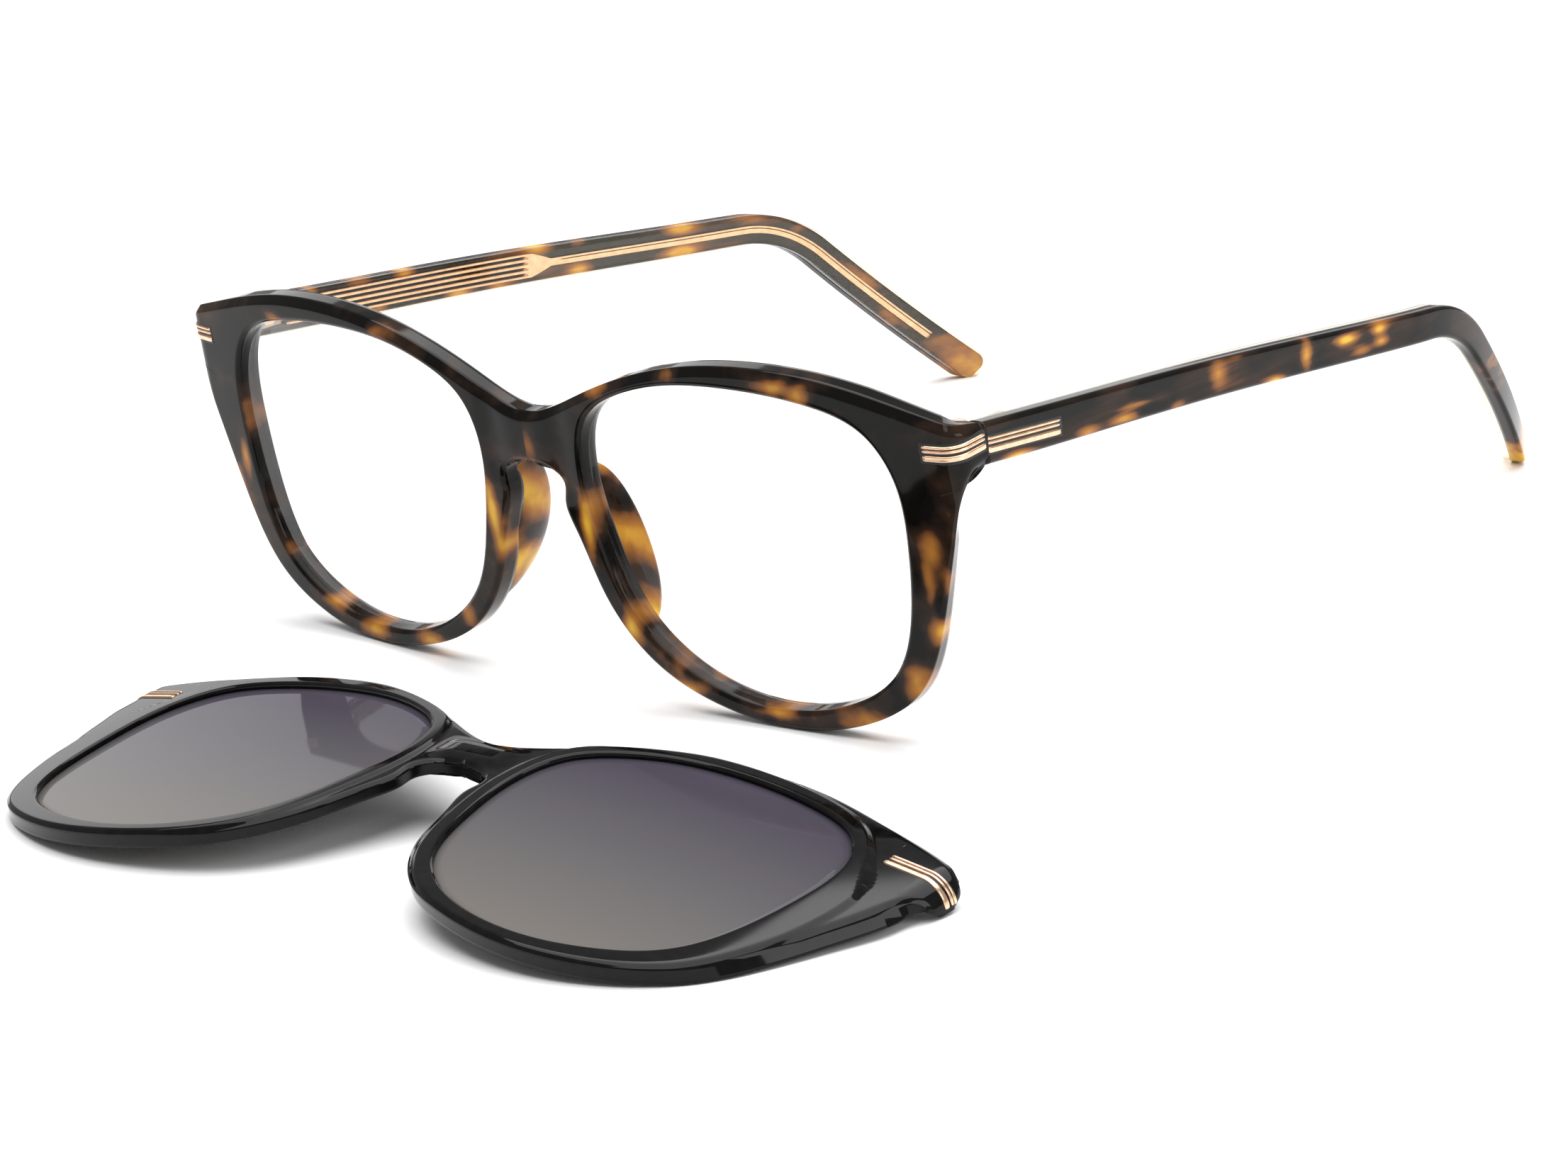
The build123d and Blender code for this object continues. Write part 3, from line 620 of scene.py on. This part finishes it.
def clip_front_depth(s, z, edge, lens):
    """Raised band round the lens and over the bridge, a step down to brow and ends, rounded outer edges."""
    angle = np.degrees(np.arctan2(z, s - LENS_X))
    wide = np.interp(angle, [a for a, w in BAND], [w for a, w in BAND])
    off_band = ease((lens - wide) / 0.9)
    bridge = (1 - ease((s - 3.5) / 4.0)) * (1 - ease((np.abs(z - BRIDGE_MIDDLE + 0.2) - 1.0) / 2.2))
    off_band = off_band * (1 - bridge)
    slope = 0.08 * soft_max(lens - wide - 0.5, 0.6) * ease((z + 2) / 14)
    step = CLIP_STEP * off_band + slope * ease((s - 10) / 10) * (1 - ease((s - 50) / 12))
    out = 0.8 * soft_max(0.55 - edge, 0.12)
    into = 0.8 * soft_max(0.3 - lens, 0.06)
    return step + out + into


def clip_back_depth(s, z, edge, lens):
    """Flat back with finely rounded edges."""
    return CLIP_THICKNESS - 0.6 * soft_max(0.35 - edge, 0.1) - 0.5 * soft_max(0.25 - lens, 0.08)


clip_frame = ring_plate(
    "ClipFrame", CLIP_WRAP, on_clip, CLIP_INSET, CLIP_LIP,
    [(RIM_SIDE - CLIP_INSET, END_TOP - 0.1), (74.2, 18.9), (76.3, 18.0), (CLIP_WRAP.length, 16.9)],
    [(CLIP_WRAP.length, 14.3), (76.0, 13.1), (74.2, 12.5), (72.4, 11.2), (71.0, 8.6), (70.2, 5.6)],
    38, clip_front_depth, clip_back_depth, plain_patch,
)
dress(clip_frame, gloss_black, "clip_on", "gloss_black", "clip_frame")


# ---- Lenses: polar grids between the opening's edge and the centre, two curved faces and a rim ----


def lens_blank(name, side, radius, depth, thickness, grow, settle):
    """Scaled copies of the lens outline from the edge to the centre, laid on both curved faces."""
    edge = spline(lens_points(grow), 160, closed=True) - (LENS_X, 0)
    share = np.linspace(1, 0, 15)[:-1]
    flat = share[:, None, None] * edge[None] + (LENS_X, 0)

    def laid(flat, at):
        x, z = flat[..., 0], flat[..., 1]
        return np.stack([side * x, radius - np.sqrt((radius - at) ** 2 - x**2), z], -1)

    front_rows, back_rows = laid(flat, depth), laid(flat[::-1], depth + thickness)
    rows = np.concatenate([front_rows[::-1], back_rows[::-1]])
    points = rows.reshape(-1, 3)
    faces = grid_faces(len(rows), len(edge), closed_columns=True)
    centre = np.array([[LENS_X, 0.0]])
    points = np.vstack([points, laid(centre, depth), laid(centre, depth + thickness)])
    k = np.arange(len(edge))
    after = (k + 1) % len(edge)
    last = (len(rows) - 1) * len(edge)
    top = len(points) - 2
    fans = np.vstack([
        np.stack([np.full(len(k), top), k, after], 1),
        np.stack([np.full(len(k), top + 1), last + after, last + k], 1),
    ])
    faces = np.vstack([faces[:, [0, 1, 2]], faces[:, [0, 2, 3]], fans])
    shade = (points[:, 2] + LENS_HEIGHT / 2) / LENS_HEIGHT
    return solid_mesh(name, settle(points), faces, {"shade": shade})


for side, word, tag in SIDES:
    lens = lens_blank(f"Lens{word}", side, FACE_RADIUS, LENS_DEPTH, LENS_THICKNESS, 0.5, on_glasses)
    dress(lens, clear_lens, "front", "clear_lens", f"lens_{tag}")
    sun = lens_blank(
        f"SunLens{word}", side, CLIP_RADIUS, CLIP_LENS_DEPTH, CLIP_LENS_THICKNESS, -0.2, on_clip
    )
    dress(sun, sun_tint, "clip_on", "sun_lens", f"clip_lens_{tag}")


# ---- Trims: a ridged profile along the path ------------------------------------------------------


def ridges(v):
    """Height of the trim's face over v from -1 to 1: two ridges above, a low gap that is painted dark as
    shade, one broad bar below.
    """
    upper = np.exp(-(((v - 0.70) / 0.20) ** 4)) + 0.92 * np.exp(-(((v - 0.22) / 0.20) ** 4))
    lower = np.exp(-(((v + 0.56) / 0.36) ** 6))
    return np.clip(upper + lower, 0, 1)


def strip(name, at, start, end, half_height, proud, sunk, notch, mirror_about=None):
    """The ridged profile carried from start to end over a flat back, with both ends notched.

    at(s, v, depth) gives the point for a distance along, a height and a depth.
    """
    v = np.linspace(-1, 1, 61)
    face = sunk - (sunk + proud) * ridges(v)
    ends = notch * (1 - ridges(v))
    s = np.concatenate([[0, 0.01, 0.03], np.linspace(0.05, 0.95, 44), [0.97, 0.99, 1.0]])
    run = (start + ends) + (end - start - 2 * ends) * s[:, None]
    round_ends = 0.12 * np.exp(-(s[:, None] * 60) ** 2) + 0.12 * np.exp(-((1 - s[:, None]) * 60) ** 2)
    top = at(run, v[None] * half_height, face[None] + round_ends)
    back = at(run[:, ::-1], v[None, ::-1] * half_height, np.full(run.shape, TRIM_DEPTH))
    sections = np.concatenate([top, back], 1)
    if mirror_about is not None:
        sections = mirrored(sections, mirror_about)
    # Painted shade: the low gaps between the ridges are marked to be darkened in the metal's colour
    groove_shade = 1 - ease(ridges(v) / 0.75)
    groove_shade = np.broadcast_to(np.concatenate([groove_shade, np.zeros(len(v))]), sections.shape[:2])
    return tube(name, sections, {"groove_shade": groove_shade})


def shade_bed(name, at, start, end, half_height, depth, floor, mirror_about=None):
    """A thin dark plate with rounded edges, just proud of the surface, that the trim sits in: painted shade
    for the shaded recess round the trim.
    """
    v = np.linspace(-1, 1, 25)
    lift = depth + 0.05 * np.abs(v[None]) ** 8
    s = np.linspace(start, end, 50)[:, None] + 0 * v[None]
    top = at(s, v[None] * half_height, lift + 0 * s)
    back = at(s[:, ::-1], v[None, ::-1] * half_height, floor + 0 * s)
    sections = np.concatenate([top, back], 1)
    if mirror_about is not None:
        sections = mirrored(sections, mirror_about)
    return tube(name, sections)


def front_strip_at(s, z, depth):
    """On the front's face, round its corner and along its side."""
    return on_glasses(GLASSES_WRAP.at(s, TRIM_MIDDLE + z, depth))


def clip_strip_at(s, z, depth):
    """On the clip's lowered end, round its corner."""
    return on_clip(CLIP_WRAP.at(s, TRIM_MIDDLE + z, depth + CLIP_STEP))


def skin_x(y, depth):
    """Across position of a layer of the left temple, straight with toe-in, then swept in on an arc."""
    toe = np.radians(TOE_IN)
    centre_x = HALF_WIDTH - EAR_START * np.sin(toe) - SWEEP_RADIUS * np.cos(toe)
    centre_y = SEAM[0] + EAR_START * np.cos(toe) - SWEEP_RADIUS * np.sin(toe)
    straight = HALF_WIDTH - (y - SEAM[0]) * np.tan(toe) - depth / np.cos(toe)
    reach = SWEEP_RADIUS - depth
    arc = centre_x + np.sqrt(np.maximum(reach**2 - (y - centre_y) ** 2, 1))
    turn_y = centre_y + reach * np.sin(toe)
    return np.where(y < turn_y, straight, arc)


SLOPE = np.radians(TEMPLE_SLOPE)


def temple_strip_at(s, v, depth):
    """On the left temple's skin, along its slope."""
    y = SEAM[0] + s + 0 * v
    z = SEAM[1] + (TRIM_MIDDLE - (END_TOP + END_BOTTOM) / 2) + v - s * np.tan(SLOPE)
    y, z, depth = np.broadcast_arrays(y, z, depth)
    return on_table(np.stack([skin_x(y, depth), y, z], -1))


for side, word, tag in SIDES:
    about = MIDDLE[0] if side < 0 else None
    clip_about = MIDDLE[0] + CLIP_SHIFT[0] if side < 0 else None
    start, end = HALF_WIDTH - TRIM_REACH, GLASSES_WRAP.length
    trim = strip(
        f"FrontTrim{word}", front_strip_at, start, end - 0.12, TRIM_HALF_HEIGHT, TRIM_PROUD, TRIM_VALLEY,
        TRIM_NOTCH, about,
    )
    dress(trim, rose_gold, "front", "rose_gold", f"front_trim_{tag}")
    # Dark plate of painted shade round the front trim, for its shaded recess
    trim = shade_bed(
        f"FrontTrimShadeBed{word}", front_strip_at, start - TRIM_GAP, end, SHADE_BED_HALF_HEIGHT, -SHADE_BED_PROUD, SHADE_BED_DEPTH,
        about,
    )
    dress(trim, painted_recess_shade, "front", "gloss_black")
    start, end = CLIP_HALF_WIDTH - CLIP_TRIM_REACH, CLIP_WRAP.length
    trim = strip(
        f"ClipTrim{word}", clip_strip_at, start, end - 0.5, TRIM_HALF_HEIGHT, TRIM_PROUD, TRIM_VALLEY,
        TRIM_NOTCH, clip_about,
    )
    dress(trim, rose_gold, "clip_on", "rose_gold", f"clip_trim_{tag}")
    trim = strip(
        f"TempleTrim{word}", temple_strip_at, 0.35, TEMPLE_TRIM_LENGTH, TRIM_HALF_HEIGHT, TRIM_PROUD - 0.02,
        0.1, TRIM_NOTCH, about,
    )
    dress(trim, rose_gold, f"temple_{tag}", "rose_gold", f"temple_trim_{tag}")
    # Dark plate of painted shade round the temple trim, for its shaded recess
    trim = shade_bed(
        f"TempleTrimShadeBed{word}", temple_strip_at, 0.1, TEMPLE_TRIM_LENGTH + TRIM_GAP, TEMPLE_SHADE_BED_HALF_HEIGHT,
        -SHADE_BED_PROUD, SHADE_BED_DEPTH, about,
    )
    dress(trim, painted_recess_shade, f"temple_{tag}", "gloss_black")


# ---- Temples: rounded sections along the side-view line, laid on the plan-view line ---------------


def temple_line(count):
    """Side view: straight with a slight upward bow, an arc at the bend, then straight down to the tip."""
    a, b, c = np.array(SEAM), np.array(BEND), np.array(TIP)
    first, second = (b - a) / np.linalg.norm(b - a), (c - b) / np.linalg.norm(c - b)
    half = np.arccos(first @ second) / 2
    cut = BEND_RADIUS * np.tan(half)
    arc_start = b - first * cut
    centre = arc_start + BEND_RADIUS * np.array([first[1], -first[0]])
    start = np.arctan2(*(arc_start - centre)[::-1])
    sweep = np.linspace(start, start - 2 * half, 60)
    arc = centre + BEND_RADIUS * np.stack([np.cos(sweep), np.sin(sweep)], 1)
    line = resample(np.vstack([a, arc, c + second * (TIP_RADIUS - 0.06)]), count)
    share = np.clip((line[:, 0] - a[0]) / (arc_start[0] - a[0]), 0, 1)
    line[:, 1] += 0.5 * np.sin(np.pi * share) ** 2
    return line


SIDE_LINE = temple_line(420)
RUN = np.concatenate([[0.0], np.cumsum(np.linalg.norm(np.diff(SIDE_LINE, axis=0), axis=1))])
TANGENT = np.gradient(SIDE_LINE, axis=0)
TANGENT /= np.linalg.norm(TANGENT, axis=1)[:, None]


def on_temple(run, up, depth):
    """Local points at a distance from the seam, a height above the middle line and a depth from the skin."""
    run, up, depth = np.broadcast_arrays(run, up, depth)
    y, z = np.interp(run, RUN, SIDE_LINE[:, 0]), np.interp(run, RUN, SIDE_LINE[:, 1])
    ty, tz = np.interp(run, RUN, TANGENT[:, 0]), np.interp(run, RUN, TANGENT[:, 1])
    lean = np.arctan2(-tz, ty) * ease(run / 12) - np.radians(LEAN) * (1 - ease(run / 12))
    y, z = y + up * np.sin(lean), z + up * np.cos(lean)
    return np.stack([skin_x(y, depth), y, z], -1)


def half_height(run):
    """Half the temple's height: a taper to the bend, then to the tip, which ends in a half circle."""
    tall = np.interp(run, [0, BEND_RUN, RUN[-1]], [TEMPLE_HEIGHT / 2, BEND_HEIGHT / 2, TIP_RADIUS])
    left = np.clip((RUN[-1] - run) / TIP_RADIUS, 0, 1)
    return tall * np.sqrt(np.clip(1 - (1 - left) ** 2, 0, 1))


def temple_section(inner):
    """Half section points (depth 0 to 1, height -1 to 1): a box with rounded corners on its open side."""
    corner = np.linspace(0, np.pi / 2, 9)
    radius = 0.42 if inner else 0.36
    low = np.stack([radius - radius * np.sin(corner), -1 + (1 - np.cos(corner)) * radius * 0.8], 1)
    side = np.stack([np.zeros(9), np.linspace(low[-1, 1], -low[-1, 1], 11)[1:-1]], 1)
    high = low[::-1] * (1, -1)
    closing = np.stack([np.ones(9), np.linspace(1, -1, 9)], 1)
    edge_top = np.array([[0.55, 1.0], [0.8, 1.0]])
    edge_low = np.array([[0.8, -1.0], [0.55, -1.0]])
    return np.vstack([low, side, high, edge_top, closing, edge_low])


# Amber patches of a temple: run, up, half length, half height, strength; left, then right
TEMPLE_PATCHES = {
    1: [
        (6.0, -2.6, 4.0, 0.8, 0.56), (21.0, -2.2, 2.6, 0.8, 0.42), (29.0, -1.9, 3.6, 0.8, 0.56),
        (31.0, -0.4, 4.6, 0.5, 0.40), (40.0, -2.0, 2.0, 0.8, 0.30), (49.0, 0.6, 1.6, 1.6, 0.26),
        (62.0, -2.2, 2.4, 0.6, 0.46), (69.0, 0.0, 1.4, 2.6, 0.44), (78.0, 1.0, 2.8, 0.7, 0.56),
        (82.0, -1.0, 2.4, 0.8, 0.34), (86.0, 1.3, 1.8, 0.8, 0.50), (86.5, -0.4, 1.8, 0.7, 0.46),
        (118.0, 0.0, 5.0, 2.0, 0.12), (146.0, 0.0, 7.0, 4.0, 0.50),
    ],
    -1: [
        (14.0, 2.3, 1.6, 0.8, 0.50), (23.5, 2.3, 3.2, 0.9, 0.44), (32.0, 2.3, 2.2, 1.0, 0.60),
        (27.0, -2.4, 2.0, 0.8, 0.46), (42.0, -2.4, 2.4, 0.9, 0.60), (50.0, -2.4, 2.0, 0.8, 0.36),
        (58.0, 2.3, 3.0, 1.0, 0.56), (66.0, -2.0, 2.6, 1.2, 0.60), (66.0, 2.2, 2.0, 0.8, 0.30),
        (87.0, 1.8, 3.4, 0.9, 0.64), (87.0, -1.8, 3.4, 0.9, 0.64), (101.0, 1.8, 3.0, 0.8, 0.30),
        (122.0, 1.0, 5.0, 1.2, 0.36), (132.0, -0.6, 4.0, 1.4, 0.30), (147.0, 0.0, 7.0, 4.0, 0.52),
    ],
}


def temple_patch(run, up, side):
    """Sum of soft ellipses over the temple's outer layer."""
    total = np.full(run.shape, -0.08)
    for at, high, long_, tall, strength in TEMPLE_PATCHES[side]:
        total = total + strength * np.exp(-(((run - at) / long_) ** 2) - ((up - high) / tall) ** 2)
    return total


def temple_layer(name, side, inner):
    """The outer or inner layer: its section scaled by the height at each run, drawn together at the tip."""
    tip = RUN[-1] - TIP_RADIUS * np.cos(np.linspace(0, np.pi / 2, 26))[1:]
    run = np.concatenate([np.linspace(0.05, RUN[-1] - TIP_RADIUS, 300), tip])
    section = temple_section(inner)
    depth = section[:, 0]
    if inner:
        depth = TEMPLE_THICKNESS - depth * (TEMPLE_THICKNESS - OUTER_LAYER - 0.03)
    else:
        depth = depth * OUTER_LAYER
    tall = np.maximum(half_height(run), 0.02)[:, None]
    middle = TEMPLE_THICKNESS / 2
    pinch = np.clip(tall / TIP_RADIUS, 0.05, 1) ** 0.6
    up = section[None, :, 1] * tall
    deep = middle + (depth[None] - middle) * pinch
    local = on_temple(run[:, None], up, deep)
    points = on_table(local)
    if side < 0:
        points = mirrored(points, MIDDLE[0])
    patch = temple_patch(run[:, None] + 0 * up, up, side)
    return tube(name, points, {"patch": patch})


def ribs(up):
    """Fine lengthwise ribs of the metal plate."""
    return np.clip(1.0 + 1.3 * np.cos(2 * np.pi * up / 0.84), 0, 1)


def core_piece(name, side):
    """Broad ribbed plate that narrows to a point, then a narrow band round the bend."""
    run = np.concatenate([
        np.linspace(PLATE_START, PLATE_END, 90), np.linspace(PLATE_END, PLATE_END + PLATE_POINT, 24)[1:],
        np.linspace(PLATE_END + PLATE_POINT, CORE_LENGTH, 160)[1:],
    ])
    plate = PLATE_HEIGHT / 2 * np.clip((PLATE_END + PLATE_POINT - run) / PLATE_POINT, 0, 1) ** 0.8
    tall = np.maximum(plate, CORE_HEIGHT / 2)[:, None]
    v = np.linspace(-1, 1, 61)[None]
    up = v * tall
    fade = ease((run[:, None] - PLATE_END + 2.0) / 1.5)
    ribbed = ribs(up) * (1 - fade) + fade + 0 * up
    face = OUTER_LAYER + CORE_THICKNESS * (0.45 + 0.55 * ribbed)
    front = on_temple(run[:, None], up, face)
    back = on_temple(run[:, None], up[:, ::-1], np.full(up.shape, OUTER_LAYER + 0.06))
    points = on_table(np.concatenate([front, back], 1))
    if side < 0:
        points = mirrored(points, MIDDLE[0])
    # Painted shade in the valleys between the ribs, plus a dark line along the narrow band, marked to darken
    # the metal's colour
    line = np.exp(-(((v - 0.36) / 0.12) ** 2)) * ease((run[:, None] - PLATE_END - PLATE_POINT) / 2.0)
    groove_shade = np.hstack([np.maximum(1 - ribbed, line), np.zeros(up.shape)])
    return tube(name, points, {"groove_shade": groove_shade})


for side, word, tag in SIDES:
    body = f"temple_{tag}"
    outer = temple_layer(f"TempleOuter{word}", side, False)
    inner = temple_layer(f"TempleInner{word}", side, True)
    core = core_piece(f"TempleCore{word}", side)
    dress(outer, temple_havana, body, "havana", f"temple_outer_{tag}")
    dress(inner, clear_layer, body, "clear_acetate", f"temple_inner_{tag}")
    dress(core, rose_gold, body, "rose_gold", f"temple_core_{tag}")


# ---- Nose pads: rounded fins that stand back from the inner rims ----------------------------------


def nose_pad(name, side):
    """Rounded sections stacked down the rim; their reach back follows half an ellipse."""
    v = np.sin(np.linspace(-np.pi / 2, np.pi / 2, 60))
    z = (PAD_TOP + PAD_BOTTOM) / 2 - v * (PAD_TOP - PAD_BOTTOM) / 2
    share = (v + 1) / 2
    inside = LENS_X - LENS_WIDTH / 2 - RIM_NASAL
    x = inside - PAD_TUCK + PAD_SPREAD * share + PAD_TURN * share**2
    round_off = np.sqrt(np.clip(1 - v**2, 0.0004, 1))
    shortest = PAD_START + 0.2
    reach = shortest + (PAD_BACK - shortest) * round_off**0.9
    angle = np.linspace(0, 2 * np.pi, 40, endpoint=False)
    across = np.sign(np.sin(angle)) * np.abs(np.sin(angle)) ** 0.75
    along = np.sign(np.cos(angle)) * np.abs(np.cos(angle)) ** 0.8
    back = PAD_START + (reach[:, None] - PAD_START) * (0.5 + 0.5 * along[None])
    taper = 1.0 - 0.45 * (0.5 + 0.5 * along[None]) ** 2
    wide = PAD_WIDTH / 2 * round_off[:, None] ** 0.5 * taper
    middle = x[:, None] + PAD_WIDTH / 2
    local = np.stack(np.broadcast_arrays(side * (middle + wide * across[None]), back, z[:, None]), -1)
    patch = 0.24 + 0.20 * np.sin(z[:, None] * 0.55 + side + 0.35 * back) + 0 * back
    return tube(name, on_glasses(local), {"patch": patch})


for side, word, tag in SIDES:
    dress(nose_pad(f"NosePad{word}", side), front_havana, "front", "havana", f"nose_pad_{tag}")

METAL_NODES = (
    ("hinge_front_leaf", steel), ("hinge_temple_leaf", steel), ("hinge_screw", steel),
    ("front_magnet", magnet_metal), ("clip_magnet", magnet_metal),
)
for side, word, tag in SIDES:
    for name, finish in METAL_NODES:
        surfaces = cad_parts[f"{name}_{tag}"].data.materials
        surfaces.clear()
        surfaces.append(finish)


# ---- Floor, light and camera ---------------------------------------------------------------------

bpy.ops.mesh.primitive_plane_add(size=8, location=(0, 0, -0.0001))
floor = bpy.context.object
floor.name = "Floor"
paper, tree, surface = shader("Paper", Roughness=0.9)
tones = [(0.3, (0.90, 0.90, 0.90)), (0.7, (0.92, 0.92, 0.92))]
tree.links.new(ramp(tree, noise(tree, PLAIN, 30.0), tones), surface.inputs["Base Color"])
floor.data.materials.append(paper)

world = bpy.data.worlds.new("Studio")
world.use_nodes = True
world.node_tree.nodes["Background"].inputs["Color"].default_value = (1, 1, 1, 1)
world.node_tree.nodes["Background"].inputs["Strength"].default_value = 0.36
bpy.context.scene.world = world
bpy.context.scene.view_settings.view_transform = "Standard"


def soft_box(name, location, target, wide, high, power):
    """A rectangular lamp at a place in metres, turned towards a target."""
    light = bpy.data.lights.new(name, "AREA")
    light.shape = "RECTANGLE"
    light.size, light.size_y, light.energy = wide, high, power
    lamp = bpy.data.objects.new(name, light)
    lamp.location = location
    lamp.rotation_mode = "QUATERNION"
    lamp.rotation_quaternion = (Vector(target) - Vector(location)).to_track_quat("-Z", "Y")
    bpy.context.scene.collection.objects.link(lamp)


soft_box("Overhead", (0.0, 0.1, 1.6), (0, 0, 0), 2.2, 2.2, 52)
soft_box("Behind", (-1.3, 1.3, 0.55), (0, 0, 0.05), 1.8, 0.6, 4)
soft_box("Side", (1.5, 0.2, 0.7), (0, 0, 0.02), 0.9, 0.7, 8)

# Camera: place in mm, direction and roll in degrees, focal length on a 36 mm wide sensor
CAMERA_PLACE = (532.63, -542.86, 243.8)
CAMERA_AZIMUTH, CAMERA_ELEVATION, CAMERA_ROLL = 44.714, 17.264, -5.525
LENS_MM = 133.56

lens_data = bpy.data.cameras.new("Camera")
lens_data.lens = LENS_MM
lens_data.sensor_width = 36.0
lens_data.clip_start = 0.01
lens_data.clip_end = 50
camera = bpy.data.objects.new("Camera", lens_data)
bpy.context.scene.collection.objects.link(camera)
az, el, roll = np.radians([CAMERA_AZIMUTH, CAMERA_ELEVATION, CAMERA_ROLL])
back = np.array([np.sin(az) * np.cos(el), -np.cos(az) * np.cos(el), np.sin(el)])
right = np.cross(-back, [0, 0, 1])
right /= np.linalg.norm(right)
up = np.cross(right, -back)
right, up = np.cos(roll) * right + np.sin(roll) * up, -np.sin(roll) * right + np.cos(roll) * up
turn = Matrix((right, up, back)).transposed().to_4x4()
camera.matrix_world = Matrix.Translation(Vector(CAMERA_PLACE) * MM) @ turn
bpy.context.scene.camera = camera
